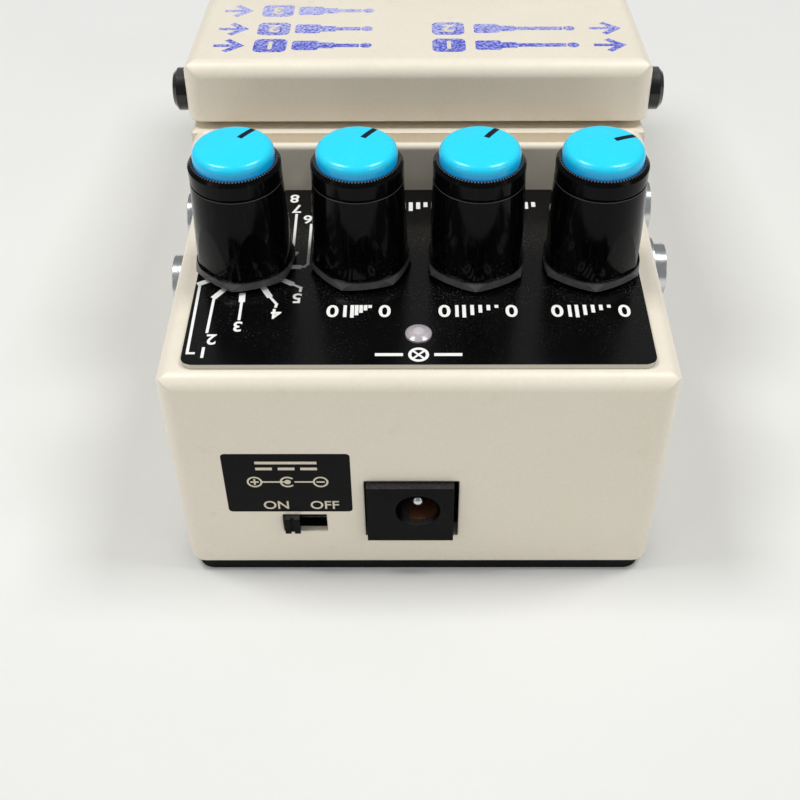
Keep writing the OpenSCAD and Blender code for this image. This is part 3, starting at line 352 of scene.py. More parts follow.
def moulded_fitting():
    # Glass-filled nylon, moulded: satin black, with a gloss on the hinge bushes' rubbed heads, and grey
    # on upward faces from settled dust and painted light.
    even = {"Specular_IOR_Level": 0.06, "Coat_Roughness": 0.1}
    material, tree, skin, at = start("black_filled_nylon", **even)
    across = add(tree, MATH, "Value", {0: add(tree, AXES, "X", {"Vector": at})},
                 operation="ABSOLUTE")
    gloss = add(tree, RANGE, "Result", {"Value": across, "From Min": BUSH_X * MM,
                                        "From Max": (BUSH_X + 0.3) * MM})
    mottle = add(tree, NOISE, "Fac", {"Vector": at, "Scale": every(3.5), "Detail": 5.0})
    black = add(tree, MIX, BLEND, {FACTOR: mottle, UNDER: colour("#060607"),
                                   OVER: colour("#0d0d0e")}, **COLOURS)
    # Upward faces turn grey in specks: settled dust, and painted light from above.
    upward = add(tree, AXES, "Z", {"Vector": add(tree, GEOMETRY, "Normal", {})})
    ledge_dust_and_light = add(tree, RANGE, "Result", {"Value": upward, "From Min": 0.6, "From Max": 0.95})
    specks = add(tree, NOISE, "Fac", {"Vector": at, "Scale": every(0.5), "Detail": 4.0,
                                      "Roughness": 0.7})
    settled = add(tree, MATH, "Value", {0: ledge_dust_and_light, 1: specks}, operation="MULTIPLY")
    base = add(tree, MIX, BLEND, {FACTOR: settled, UNDER: black, OVER: colour("#5c5759")},
               **COLOURS)
    rough = add(tree, RANGE, "Result", {"Value": mottle, **MOST, "To Min": 0.16, "To Max": 0.28})
    softened = add(tree, BEVEL, "Normal", {"Radius": 0.22 * MM}, samples=EDGE_RAYS)
    grain = add(tree, NOISE, "Fac", {"Vector": at, "Scale": every(0.28), "Detail": 3.0})
    normal = add(tree, BUMP, "Normal", {"Height": grain, "Distance": 0.004 * MM,
                                        "Normal": softened})
    dress(tree, skin, Base_Color=base, Coat_Weight=gloss, Roughness=rough, Normal=normal)
    return material


def plated_steel():
    # Zinc-plated steel, rolled and turned: grey metal with a drawn grain and cloudy plating.
    material, tree, skin, at = start("zinc_plated_steel", Metallic=1.0)
    clouds = add(tree, NOISE, "Fac", {"Vector": at, "Scale": every(5), "Detail": 5.0})
    base = add(tree, MIX, BLEND, {FACTOR: clouds, UNDER: colour("#a2a5a8"),
                                  OVER: colour("#c0c3c5")}, **COLOURS)
    drawn = add(tree, MAPPING, "Vector", {"Vector": at, "Scale": (1.0, 8.0, 1.0)})
    lines = add(tree, NOISE, "Fac", {"Vector": drawn, "Scale": every(1.6), "Detail": 5.0,
                                     "Roughness": 0.6})
    rough = add(tree, RANGE, "Result", {"Value": lines, **MOST, "To Min": 0.24, "To Max": 0.4})
    softened = add(tree, BEVEL, "Normal", {"Radius": 0.12 * MM}, samples=EDGE_RAYS)
    normal = add(tree, BUMP, "Normal", {"Height": lines, "Distance": 0.006 * MM,
                                        "Normal": softened})
    dress(tree, skin, Base_Color=base, Roughness=rough, Normal=normal)
    return material


def bright_nickel():
    # Bright nickel plate on turned brass: clear mirror with a wiped haze and fine turning lines.
    material, tree, skin, at = start("bright_nickel_plate", Metallic=1.0)
    haze = add(tree, NOISE, "Fac", {"Vector": at, "Scale": every(2.5), "Detail": 5.0,
                                    "Roughness": 0.6})
    base = add(tree, MIX, BLEND, {FACTOR: haze, UNDER: colour("#c9cccd"), OVER: colour("#e0e2e2")},
               **COLOURS)
    rough = add(tree, RANGE, "Result", {"Value": haze, **MOST, "To Min": 0.16, "To Max": 0.3})
    # Turning lines run round the sleeve, so they repeat along X only. They are drawn at 0.25 mm so
    # that they show.
    turned = add(tree, MAPPING, "Vector", {"Vector": at, "Scale": (1.0, 0.05, 0.05)})
    lines = add(tree, NOISE, "Fac", {"Vector": turned, "Scale": every(0.25), "Detail": 2.0})
    softened = add(tree, BEVEL, "Normal", {"Radius": 0.15 * MM}, samples=EDGE_RAYS)
    normal = add(tree, BUMP, "Normal", {"Height": lines, "Distance": 0.004 * MM,
                                        "Normal": softened})
    dress(tree, skin, Base_Color=base, Roughness=rough, Normal=normal)
    return material


def natural_nylon():
    # Unfilled nylon, moulded: waxy off-white that lets a little light in.
    material, tree, skin, at = start("natural_nylon", Subsurface_Weight=0.1)
    mottle = add(tree, NOISE, "Fac", {"Vector": at, "Scale": every(4), "Detail": 4.0})
    base = add(tree, MIX, BLEND, {FACTOR: mottle, UNDER: colour("#d3cfc2"),
                                  OVER: colour("#e4e1d7")}, **COLOURS)
    rough = add(tree, RANGE, "Result", {"Value": mottle, **MOST, "To Min": 0.38, "To Max": 0.5})
    softened = add(tree, BEVEL, "Normal", {"Radius": 0.15 * MM}, samples=EDGE_RAYS)
    grain = add(tree, NOISE, "Fac", {"Vector": at, "Scale": every(0.35), "Detail": 3.0})
    normal = add(tree, BUMP, "Normal", {"Height": grain, "Distance": 0.008 * MM,
                                        "Normal": softened})
    dress(tree, skin, Base_Color=base, Roughness=rough, Normal=normal)
    return material


def lamp_resin():
    # Diffused epoxy resin, cast: unlit grey-mauve with a clear glossy skin and a paler heart.
    even = {"Subsurface_Weight": 0.1, "Coat_Weight": 0.15, "Coat_Roughness": 0.05}
    material, tree, skin, at = start("diffused_epoxy", **even)
    shift = (-LAMP_MIDDLE.x * MM, -LAMP_MIDDLE.y * MM, 0)
    centred = add(tree, MAPPING, "Vector", {"Vector": at, "Location": shift, "Scale": (1, 1, 0)})
    # The paler heart fades from 0.6 to 1.6 mm off the middle, and a step runs round it.
    reach = add(tree, VECTOR_MATH, "Value", {0: centred}, operation="LENGTH")
    rim = add(tree, RANGE, "Result", {"Value": reach, "From Min": 0.6 * MM, "From Max": 1.6 * MM})
    tone = add(tree, MIX, BLEND, {FACTOR: rim, UNDER: colour("#c8bbbe"), OVER: colour("#aa9ea1")},
               **COLOURS)
    clouds = add(tree, NOISE, "Fac", {"Vector": at, "Scale": every(0.7), "Detail": 4.0})
    milk = add(tree, RANGE, "Result", {"Value": clouds, "From Min": 0.45, "From Max": 0.7,
                                       "To Max": 0.3})
    base = add(tree, MIX, BLEND, {FACTOR: milk, UNDER: tone, OVER: colour("#d4c9cc")}, **COLOURS)
    rough = add(tree, RANGE, "Result", {"Value": clouds, **MOST, "To Min": 0.14, "To Max": 0.24})
    step = add(tree, RANGE, "Result", {"Value": reach, "From Min": 1.05 * MM,
                                       "From Max": 0.75 * MM})
    normal = add(tree, BUMP, "Normal", {"Height": step, "Distance": 0.12 * MM})
    dress(tree, skin, Base_Color=base, Roughness=rough, Normal=normal)
    return material


def spring_bronze():
    # Phosphor bronze strip and wire: bare metal with brown tarnish in patches.
    material, tree, skin, at = start("phosphor_bronze", Metallic=1.0)
    tarnish = add(tree, NOISE, "Fac", {"Vector": at, "Scale": every(1.3), "Detail": 5.0,
                                       "Roughness": 0.6})
    base = add(tree, MIX, BLEND, {FACTOR: tarnish, UNDER: colour("#e2a478"),
                                  OVER: colour("#b0714c")}, **COLOURS)
    rough = add(tree, RANGE, "Result", {"Value": tarnish, **MOST, "To Min": 0.45, "To Max": 0.65})
    softened = add(tree, BEVEL, "Normal", {"Radius": 0.08 * MM}, samples=EDGE_RAYS)
    normal = add(tree, BUMP, "Normal", {"Height": tarnish, "Distance": 0.008 * MM,
                                        "Normal": softened})
    dress(tree, skin, Base_Color=base, Roughness=rough, Normal=normal)
    return material


def circuit_board():
    # Glass-epoxy board under green solder mask: glossy, with paler copper runs showing through.
    material, tree, skin, at = start("green_solder_mask", Coat_Weight=0.3)
    paint = {"Color1": colour("#000000"), "Color2": colour("#000000"), "Mortar": colour("#ffffff")}
    runs = add(tree, BRICKS, "Color", {"Vector": at, "Scale": every(9), "Mortar Size": 0.03,
                                       **paint})
    weave = add(tree, NOISE, "Fac", {"Vector": at, "Scale": every(0.8), "Detail": 3.0})
    green = add(tree, MIX, BLEND, {FACTOR: weave, UNDER: colour("#0f4427"),
                                   OVER: colour("#17562f")}, **COLOURS)
    base = add(tree, MIX, BLEND, {FACTOR: runs, UNDER: green, OVER: colour("#2f7d4e")}, **COLOURS)
    rough = add(tree, RANGE, "Result", {"Value": weave, **MOST, "To Min": 0.28, "To Max": 0.4})
    normal = add(tree, BUMP, "Normal", {"Height": runs, "Distance": 0.03 * MM})
    dress(tree, skin, Base_Color=base, Roughness=rough, Normal=normal)
    return material


def battery_jacket():
    # Printed tinplate jacket: plain dark grey, low gloss, dented a little, rubbed along its folds.
    material, tree, skin, at = start("printed_tinplate", Coat_Weight=0.2)
    mottle = add(tree, NOISE, "Fac", {"Vector": at, "Scale": every(8), "Detail": 5.0})
    softened, fold = rounded_edges(tree, radius_mm=0.4, flat=0.97, sharp=0.8, full=0.7)
    grey = add(tree, MIX, BLEND, {FACTOR: mottle, UNDER: colour("#2b2e33"),
                                  OVER: colour("#3d4147")}, **COLOURS)
    base = add(tree, MIX, BLEND, {FACTOR: fold, UNDER: grey, OVER: colour("#8d9093")}, **COLOURS)
    rough = add(tree, RANGE, "Result", {"Value": mottle, **MOST, "To Min": 0.28, "To Max": 0.42})
    normal = add(tree, BUMP, "Normal", {"Height": mottle, "Distance": 0.06 * MM,
                                        "Normal": softened})
    dress(tree, skin, Base_Color=base, Roughness=rough, Normal=normal)
    return material


def white_ink():
    # White screen ink on the plate: chalky and thin, with pinholes that let the black through.
    material, tree, skin, at = start("white_screen_ink", Specular_IOR_Level=0.35)
    cover = add(tree, NOISE, "Fac", {"Vector": at, "Scale": every(0.4), "Detail": 4.0,
                                     "Roughness": 0.7})
    thin = add(tree, RANGE, "Result", {"Value": cover, "From Min": 0.55, "From Max": 0.75,
                                       "To Max": 0.6})
    base = add(tree, MIX, BLEND, {FACTOR: thin, UNDER: colour("#efefeb"), OVER: colour("#a9a9a6")},
               **COLOURS)
    rough = add(tree, RANGE, "Result", {"Value": cover, **MOST, "To Min": 0.42, "To Max": 0.58})
    normal = add(tree, BUMP, "Normal", {"Height": cover, "Distance": 0.006 * MM})
    dress(tree, skin, Base_Color=base, Roughness=rough, Normal=normal)
    return material


def blue_ink():
    # Violet-blue screen ink on the enamel: flat colour broken by pale speckles of painted glare, more
    # of them towards the treadle's front.
    material, tree, skin, at = start("blue_screen_ink", Specular_IOR_Level=0.4)
    cover = add(tree, NOISE, "Fac", {"Vector": at, "Scale": every(0.45), "Detail": 4.0,
                                     "Roughness": 0.7})
    # From 8 mm behind the part's middle to 6 mm before it, more and more painted glare pales the ink.
    along = add(tree, AXES, "Y", {"Vector": at})
    glare_towards_front = add(tree, RANGE, "Result", {"Value": along, "From Min": 8 * MM, "From Max": -6 * MM,
                                          "To Max": 0.12})
    ink_paled_by_glare = add(tree, MATH, "Value", {0: cover, 1: glare_towards_front}, operation="ADD")
    thin = add(tree, RANGE, "Result", {"Value": ink_paled_by_glare, "From Min": 0.46, "From Max": 0.64,
                                       "To Max": 0.85})
    base = add(tree, MIX, BLEND, {FACTOR: thin, UNDER: colour("#3a46be"), OVER: colour("#c9cbea")},
               **COLOURS)
    rough = add(tree, RANGE, "Result", {"Value": cover, **MOST, "To Min": 0.34, "To Max": 0.5})
    normal = add(tree, BUMP, "Normal", {"Height": cover, "Distance": 0.006 * MM})
    dress(tree, skin, Base_Color=base, Roughness=rough, Normal=normal)
    return material


def cream_mark():
    # The casting's enamel, left bare inside the dark label print: ivory with the same fine grain.
    material, tree, skin, at = start("bare_ivory_mark")
    flake = add(tree, CELLS, "Color", {"Vector": at, "Scale": every(0.3)})
    base = add(tree, MIX, BLEND, {FACTOR: flake, UNDER: colour("#d6cab3"), OVER: colour("#e6dcc9")},
               **COLOURS)
    wipe = add(tree, NOISE, "Fac", {"Vector": at, "Scale": every(2.4), "Detail": 4.0})
    rough = add(tree, RANGE, "Result", {"Value": wipe, **MOST, "To Min": 0.32, "To Max": 0.44})
    normal = add(tree, BUMP, "Normal", {"Height": wipe, "Distance": 0.006 * MM})
    dress(tree, skin, Base_Color=base, Roughness=rough, Normal=normal)
    return material


def label_ink():
    # Thick black screen ink on the rear wall: satin, with an orange peel from the enamel below.
    material, tree, skin, at = start("black_screen_ink", Specular_IOR_Level=0.08)
    mottle = add(tree, NOISE, "Fac", {"Vector": at, "Scale": every(1.6), "Detail": 5.0})
    base = add(tree, MIX, BLEND, {FACTOR: mottle, UNDER: colour("#040405"),
                                  OVER: colour("#0a0a0b")}, **COLOURS)
    rough = add(tree, RANGE, "Result", {"Value": mottle, **MOST, "To Min": 0.32, "To Max": 0.46})
    peel = add(tree, NOISE, "Fac", {"Vector": at, "Scale": every(0.7), "Detail": 2.0})
    normal = add(tree, BUMP, "Normal", {"Height": peel, "Distance": 0.012 * MM})
    dress(tree, skin, Base_Color=base, Roughness=rough, Normal=normal)
    return material


def studio_paper():
    # Seamless background paper: pale matt grey with a hint of fibre.
    material, tree, skin, at = start("studio_paper", Roughness=0.9, Specular_IOR_Level=0.2)
    clouds = add(tree, NOISE, "Fac", {"Vector": at, "Scale": every(60), "Detail": 4.0})
    base = add(tree, MIX, BLEND, {FACTOR: clouds, UNDER: colour("#dfdfdc"),
                                  OVER: colour("#e5e5e2")}, **COLOURS)
    fibre = add(tree, NOISE, "Fac", {"Vector": at, "Scale": every(0.9), "Detail": 4.0})
    normal = add(tree, BUMP, "Normal", {"Height": fibre, "Distance": 0.03 * MM})
    dress(tree, skin, Base_Color=base, Normal=normal)
    return material


FINISHES = {
    "ivory_paint": pearl_enamel(),
    "plate_black": printed_plate(),
    "knob_black": polished_knob(),
    "cap_cyan": dyed_cap(),
    "pointer_navy": inlaid_pointer(),
    "black_rubber": moulded_rubber(),
    "black_plastic": moulded_fitting(),
    "steel": plated_steel(),
    "chrome": bright_nickel(),
    "white_plastic": natural_nylon(),
    "milky_lens": lamp_resin(),
    "bronze": spring_bronze(),
    "board_green": circuit_board(),
    "battery_jacket": battery_jacket(),
}

for row in frame["record"]["subparts"]:
    slots = frame["nodes"][row["node"]].data.materials
    slots.clear()
    slots.append(FINISHES[row["material_slot"]])


# Print is drawn in millimetres on a flat sheet, each mark a thin film, then laid on its surface.
ON_PLATE = Matrix.Translation((0, 0, PLATE_TOP))
REAR_AXES = Matrix(((-1, 0, 0, 0), (0, 0, 1, 0), (0, 1, 0, 0), (0, 0, 0, 1)))
ON_REAR = Matrix.Translation((0, REAR_WALL, 0)) @ REAR_AXES
ON_TREADLE = Matrix.Translation(TREADLE_EDGE) @ Matrix.Rotation(TREADLE_SLOPE, 4, "X")
ON_INK = Matrix.Translation((0, 0, INK))
BARE_MARK = cream_mark()


def bar(sheet, tail, tip, width, film=INK):
    """A straight stroke between two places, with square ends half a width past them."""
    run = Vector(tip) - Vector(tail)
    middle = (Vector(tip) + Vector(tail)) / 2
    turn = Matrix.Rotation(math.atan2(run.y, run.x), 4, "Z")
    place = Matrix.Translation((middle.x, middle.y, film / 2)) @ turn
    size = Matrix.Diagonal((run.length + width, width, film, 1))
    bmesh.ops.create_cube(sheet, size=1.0, matrix=place @ size)


def path(sheet, places, width, film=INK):
    """Strokes from place to place, every other one in a thinner film."""
    thinner = 0.8
    for i, (tail, tip) in enumerate(zip(places, places[1:])):
        bar(sheet, tail, tip, width, film * thinner if i % 2 else film)


def block(sheet, x, y, width, height, corner):
    """A filled block with rounded corners."""
    place = Matrix.Translation((x, y, INK / 2)) @ Matrix.Diagonal((width, height, INK, 1))
    verts = bmesh.ops.create_cube(sheet, size=1.0, matrix=place)["verts"]
    tops = [v for v in verts if v.co.z > INK / 2]
    upright = [e for top in tops for e in top.link_edges if e.other_vert(top).co.z < INK / 2]
    bmesh.ops.bevel(
        sheet, geom=upright, offset=corner, affect="EDGES", segments=6, profile=0.5, material=-1
    )


def dot(sheet, x, y, radius):
    """A filled round."""
    place = Matrix.Translation((x, y, INK / 2))
    bmesh.ops.create_cone(
        sheet, cap_ends=True, segments=24, radius1=radius, radius2=radius, depth=INK, matrix=place
    )


def ring(sheet, x, y, radius, width):
    """A round line, turned from its upright section."""
    upright = Matrix.Rotation(math.radians(90), 4, "X") @ Matrix.Diagonal((width, INK, 1, 1))
    place = Matrix.Translation((x + radius, y, INK / 2)) @ upright
    section = bmesh.ops.create_grid(
        sheet, x_segments=1, y_segments=1, size=0.5, matrix=place
    )["verts"]
    face = section[0].link_faces[0]
    rim = list(face.edges)
    bmesh.ops.delete(sheet, geom=[face], context="FACES_ONLY")
    bmesh.ops.spin(
        sheet, geom=section + rim, cent=(x, y, 0), axis=(0, 0, 1),
        angle=math.tau, steps=40, use_merge=True
    )


def figures(sheet, text, x, y, height, weight=0.02):
    """Plain figures centred on a place, with capitals of a height, thickened by weight."""
    curve = bpy.data.curves.new("figures", "FONT")
    curve.body = text
    curve.offset = weight
    curve.extrude = 0.5
    holder = bpy.data.objects.new("figures", curve)
    bpy.context.scene.collection.objects.link(holder)
    bpy.context.view_layer.update()
    drawn = holder.evaluated_get(bpy.context.evaluated_depsgraph_get())
    mesh = bpy.data.meshes.new_from_object(drawn)
    low = Vector([min(v.co[i] for v in mesh.vertices) for i in range(3)])
    high = Vector([max(v.co[i] for v in mesh.vertices) for i in range(3)])
    size = height / (high.y - low.y)
    centred = Matrix.Translation(-(low + high) / 2)
    place = Matrix.Translation((x, y, INK / 2)) @ Matrix.Diagonal((size, size, INK, 1))
    mesh.transform(place @ centred)
    sheet.from_mesh(mesh)
    bpy.data.objects.remove(holder)
    bpy.data.curves.remove(curve)
    bpy.data.meshes.remove(mesh)


def make_piece(shape, name, body, material, place):
    """Lays a drawn shape at its place, in metres, as a piece that rides on a body."""
    bmesh.ops.transform(shape, matrix=Matrix.Scale(MM, 4) @ place, verts=shape.verts[:])
    bmesh.ops.remove_doubles(shape, verts=shape.verts[:], dist=ONE_POINT * MM)
    bmesh.ops.recalc_face_normals(shape, faces=shape.faces[:])
    mesh = bpy.data.meshes.new(name)
    shape.to_mesh(mesh)
    shape.free()
    mesh.materials.append(material)
    piece = bpy.data.objects.new(name, mesh)
    bpy.context.scene.collection.objects.link(piece)
    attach(piece, body)
    return piece


def plate_print():
    """White leader lines and numbers round the first knob, scales by the others, a lamp sign."""
    sheet = bmesh.new()
    thin, thick, number_h = 0.38, 0.85, 2.05
    # Each leader is a thick tick at the knob and a thin line out to its number.
    leaders = [
        ([(29.3, 44.05), (30.25, 44.6)], [(30.25, 44.6), (30.12, 58.98), (29.3, 58.98)]),
        ([(26.88, 46.05), (27.85, 47.45)], [(27.95, 47.4), (28.04, 54.8)]),
        ([(24.14, 47.1), (24.09, 48.2)], [(24.09, 48.3), (24.06, 52.2)]),
        ([(21.52, 45.28), (20.5, 47.2)], [(20.4, 47.4), (19.3, 49.05), (19.35, 49.6)]),
        ([(18.7, 43.94), (17.7, 44.55)], [(17.7, 44.6), (16.22, 45.55), (16.26, 46.25)]),
        ([(18.5, 40.89), (16.9, 40.9)],
         [(16.8, 40.9), (16.04, 40.83), (15.6, 40.26), (15.7, 30.9)]),
        ([(17.6, 37.75), (18.2, 37.45)], [(17.92, 37.5), (18.03, 28.4)]),
    ]
    for tick, line in leaders:
        path(sheet, tick, thick)
        path(sheet, line, thin, LEADER_FILM)
    numbers = [
        (28.1, 58.85), (27.3, 56.3), (24.1, 53.7), (19.2, 51.1),
        (16.6, 47.8), (16.3, 29.6), (18.1, 26.9), (18.6, 24.3),
    ]
    for i, (x, y) in enumerate(numbers):
        figures(sheet, str(i + 1), x, y, number_h)

    # Scales from 0 to 10 at the other knobs, with five strokes that rise between the figures.
    scale_y, scale_h, zero_in, ten_in = 50.55, 2.5, 0.9, 1.4
    stroke_y, first_top = scale_y - 1.0, scale_y - 0.9
    strokes, stroke_w, stroke_in, stroke_room, step_h = 5, 0.5, 2.9, 6.4, 0.5
    for knob, half, aside in (("time", 4.4, 0.0), ("feedback", 5.4, 0.0), ("level", 5.4, 0.9)):
        x = KNOB_AXIS[knob].x + aside
        figures(sheet, "0", x - half + zero_in, scale_y, scale_h)
        figures(sheet, "10", x + half - ten_in, scale_y, scale_h)
        pitch = (2 * half - stroke_room) / (strokes - 1)
        for i in range(strokes):
            across = x - half + stroke_in + i * pitch
            bar(sheet, (across, stroke_y), (across, first_top + step_h * i), stroke_w)

    # Three rising strokes behind the knobs, between the second and third and between the last two.
    far_y, far_top, far_pitch, far_w = 25.6, 26.2, 1.1, 0.6
    for middle in (0.0, -2 * KNOB_AXIS["time"].x):
        for i in range(3):
            across = middle - far_pitch + far_pitch * i
            bar(sheet, (across, far_y), (across, far_top + step_h * i), far_w)

    # A lamp sign: a crossed ring, with a wire at each side.
    sign_y, sign_r, ring_w, cross_w, wire_w = 59.3, 1.15, 0.42, 0.3, 0.55
    wire_in, wire_out = 2.3, 5.4
    ring(sheet, 0, sign_y, sign_r, ring_w)
    arm = sign_r * math.sqrt(0.5)
    for s, film in ((-1, 0.6 * INK), (1, CROSS_FILM)):
        bar(sheet, (-arm, sign_y - s * arm), (arm, sign_y + s * arm), cross_w, film)
        bar(sheet, (s * wire_in, sign_y), (s * wire_out, sign_y), wire_w)
    make_piece(sheet, "plate_print", "base", white_ink(), ON_PLATE)


def rear_label():
    """Dark label over the slide switch; two supply signs, and ON and OFF, are left bare in it."""
    left, right, bottom, top, corner = -27.05, -9.4, 13.65, 25.65, 0.6
    middle = (left + right) / 2
    panel = bmesh.new()
    block(panel, middle, (bottom + top) / 2, right - left, top - bottom, corner)
    make_piece(panel, "rear_label", "base", label_ink(), ON_REAR)

    # Direct-current sign: a long stroke over three dashes.
    marks = bmesh.new()
    stroke_y, dash_y, stroke_w, stroke_half = 23.9, 22.7, 0.5, 4.0
    dash, dash_pitch = 1.8, 3.1
    bar(marks, (middle - stroke_half, stroke_y), (middle + stroke_half, stroke_y), stroke_w)
    for i in range(3):
        tail = middle - stroke_half + dash_pitch * i
        bar(marks, (tail, dash_y), (tail + dash, dash_y), stroke_w)

    # Polarity sign: plus and minus in rings, wired to an open ring and the dot inside it.
    y, half, ring_r, line = 20.0, 4.6, 0.95, 0.26
    arm, dot_r, dot_gap, gap = 0.45, 0.45, 0.5, 1.1
    for x in (middle - half, middle + half):
        ring(marks, x, y, ring_r, line)
        bar(marks, (x - arm, y), (x + arm, y), line)
    bar(marks, (middle - half, y - arm), (middle - half, y + arm), line, CROSS_FILM)
    bar(marks, (middle - half + gap, y), (middle - dot_gap, y), line, CROSS_FILM)
    bar(marks, (middle + gap, y), (middle + half - gap, y), line, UNDER_FILM)
    dot(marks, middle, y, dot_r)
    arc = [math.radians(angle) for angle in range(50, 311, 20)]
    path(marks, [(middle + ring_r * math.cos(a), y + ring_r * math.sin(a)) for a in arc], line)

    word_y, word_h, word_weight = 15.1, 1.7, 0.01
    figures(marks, "ON", -20.2, word_y, word_h, word_weight)
    figures(marks, "OFF", -13.3, word_y, word_h, word_weight)
    make_piece(marks, "rear_label_marks", "base", BARE_MARK, ON_REAR @ ON_INK)


def treadle_print():
    """Blue flow arrows, numbered blocks and plug signs for the sockets at each side."""
    sheet = bmesh.new()
    numbers = bmesh.new()
    rows = [-7.1, -13.8, -21.5]  # down the slope from the treadle's rear edge

    def arrow(tail, tip, y):
        shaft_w, shaft_in, head_w, head_l, head_half, end_in = 0.95, 0.8, 1.0, 2.3, 1.9, 0.5
        bar(sheet, (tail - end_in, y), (tip + shaft_in, y), shaft_w, UNDER_FILM)
        barb = tip + head_l
        path(sheet, [(barb, y + head_half), (tip + end_in, y), (barb, y - head_half)], head_w)

    def numbered_block(x, y, text):
        block_w, block_h, corner, number_h, weight = 5.0, 5.1, 1.1, 3.0, 0.03
        block(sheet, x, y, block_w, block_h, corner)
        figures(numbers, text, x, y, number_h, weight)

    def plug_sign(grip, tip, y):
        grip_l, grip_h, corner, neck_w, shank_w, tip_r = 4.0, 3.6, 0.6, 2.2, 1.3, 0.9
        neck_from, neck_to, shank_from, shank_in = 4.8, 5.2, 6.6, 2.6
        block(sheet, grip - grip_l / 2, y, grip_l, grip_h, corner)
        bar(sheet, (grip - neck_from, y), (grip - neck_to, y), neck_w, CROSS_FILM)
        bar(sheet, (grip - shank_from, y), (tip + shank_in, y), shank_w)
        dot(sheet, tip + tip_r, y, tip_r)

    for i, y in enumerate(rows):
        arrow(31.0, 26.5, y)
        numbered_block(22.4, y, str(i + 1))
        plug_sign(19.1, 7.0, y)
    for i, y in enumerate(rows[:2]):
        numbered_block(-4.7, y, str(i + 1))
        plug_sign(-8.7, -24.4, y)
        arrow(-26.6, -31.4, y)
    make_piece(sheet, "treadle_print", "treadle_body", blue_ink(), ON_TREADLE)
    on_print = ON_TREADLE @ ON_INK
    make_piece(numbers, "treadle_numbers", "treadle_body", BARE_MARK, on_print)


def collar_knurl(knob):
    """Fine teeth on top of a knob's collar, close round its cap."""
    axis = KNOB_AXIS[knob]
    teeth, reach, tooth, chamfer = 84, 5.6, (0.34, 0.22, 0.26), 0.07
    ridge = bmesh.new()
    place = Matrix.Translation((axis.x + reach, axis.y, COLLAR_TOP))
    bmesh.ops.create_cube(ridge, size=1.0, matrix=place @ Matrix.Diagonal((*tooth, 1)))
    rims = [edge for edge in ridge.edges if min(v.co.z for v in edge.verts) > COLLAR_TOP]
    bmesh.ops.bevel(
        ridge, geom=rims, offset=chamfer, affect="EDGES", segments=1, profile=0.5, material=-1
    )
    bmesh.ops.spin(
        ridge, geom=ridge.verts[:] + ridge.edges[:] + ridge.faces[:],
        cent=(axis.x, axis.y, 0), axis=(0, 0, 1),
        angle=math.tau * (teeth - 1) / teeth, steps=teeth - 1, use_duplicate=True
    )
    black = FINISHES["knob_black"]
    make_piece(ridge, "knurl_" + knob, "control_" + knob, black, Matrix.Identity(4))


def return_coil():
    """The treadle's return spring, wound of round wire."""
    low, high = (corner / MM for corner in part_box("return_spring"))
    wire, turns, turn_steps = 0.9, 7, 24
    middle = (low + high) / 2
    steps = turns * turn_steps
    rise = high.z - low.z - wire
    coil = bmesh.new()
    start_x = middle.x + (high.x - low.x - wire) / 2
    upright = Matrix.Rotation(math.radians(90), 4, "X")
    place = Matrix.Translation((start_x, middle.y, low.z + wire / 2)) @ upright
    section = bmesh.ops.create_circle(
        coil, cap_ends=True, segments=12, radius=wire / 2, matrix=place
    )["verts"]
    bmesh.ops.spin(
        coil, geom=section + coil.edges[:] + coil.faces[:],
        cent=(middle.x, middle.y, 0), axis=(0, 0, 1),
        dvec=(0, 0, rise / steps), angle=math.tau * turns, steps=steps
    )
    for face in coil.faces:
        face.smooth = len(face.verts) == 4
    piece = make_piece(coil, "return_coil", "base", FINISHES["steel"], Matrix.Identity(4))
    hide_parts("return_spring")
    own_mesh(piece)


plate_print()
rear_label()
treadle_print()
return_coil()
for knob_name in KNOBS:
    collar_knurl(knob_name)


def studio_floor():
    """Pale paper under the pedal."""
    paper = bmesh.new()
    half_width = 3.0
    bmesh.ops.create_grid(paper, x_segments=1, y_segments=1, size=half_width)
    mesh = bpy.data.meshes.new("studio_floor")
    paper.to_mesh(mesh)
    paper.free()
    mesh.materials.append(studio_paper())
    floor = bpy.data.objects.new("studio_floor", mesh)
    bpy.context.scene.collection.objects.link(floor)


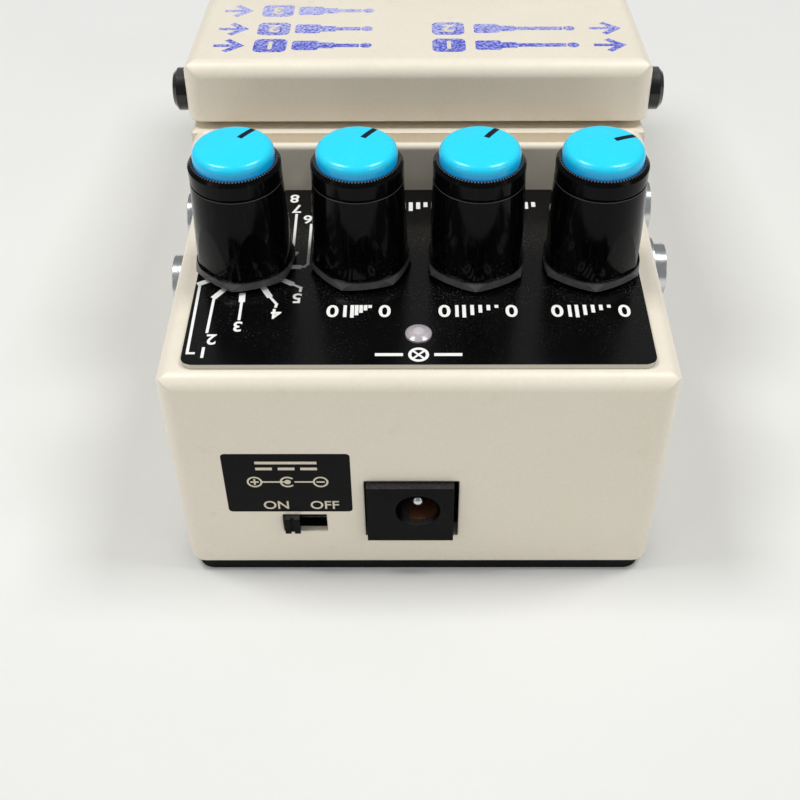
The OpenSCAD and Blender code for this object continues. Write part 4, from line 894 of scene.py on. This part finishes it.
def soft_box(name, place, size, watts):
    """A square soft box turned to the pedal."""
    data = bpy.data.lights.new(name, "AREA")
    data.shape = "SQUARE"
    data.size = size
    data.energy = watts
    lamp = bpy.data.objects.new(name, data)
    lamp.location = place
    aim = Vector((0, 0.01, 0.03))
    lamp.rotation_euler = (aim - Vector(place)).to_track_quat("-Z", "Y").to_euler()
    bpy.context.scene.collection.objects.link(lamp)


def studio_light():
    """Even room light, two soft boxes overhead, and a weak one at each side of the camera."""
    world = bpy.data.worlds.new("soft_room")
    world.use_nodes = True
    room = world.node_tree.nodes["Background"]
    room.inputs["Color"].default_value = colour("#f6f8fa")
    room.inputs["Strength"].default_value = 0.3
    bpy.context.scene.world = world
    soft_box("soft_box_overhead_left", (0.36, 0.0, 0.8), 0.26, 3.3)
    soft_box("soft_box_overhead_right", (-0.36, 0.0, 0.8), 0.26, 3.1)
    soft_box("soft_box_left", (0.55, 0.42, 0.42), 0.4, 0.85)
    soft_box("soft_box_right", (-0.55, 0.42, 0.42), 0.4, 0.75)


def photo_camera():
    """The photograph's view: behind and above the rear wall, looking down at about 45 degrees."""
    yaw, pitch, roll = (math.radians(angle) for angle in (0.304, 44.712, -0.273))
    ahead = math.cos(pitch)
    forward = Vector((math.sin(yaw) * ahead, -math.cos(yaw) * ahead, -math.sin(pitch)))
    right = forward.cross(Vector((0, 0, 1))).normalized()
    up = right.cross(forward)
    level = Matrix((right, up, -forward)).transposed().to_4x4()
    data = bpy.data.cameras.new("photo_camera")
    data.lens = 53.34
    data.sensor_width = 36.0
    data.shift_x = -0.01475
    data.shift_y = 0.0089
    data.clip_start = 0.01
    data.clip_end = 20.0
    camera = bpy.data.objects.new("photo_camera", data)
    eye = Vector((0.313, 173.38, 143.37)) * MM
    camera.matrix_world = Matrix.Translation(eye) @ level @ Matrix.Rotation(roll, 4, "Z")
    bpy.context.scene.collection.objects.link(camera)
    bpy.context.scene.camera = camera


studio_floor()
studio_light()
photo_camera()
bpy.context.scene.view_settings.view_transform = "Standard"

bpy.context.view_layer.update()
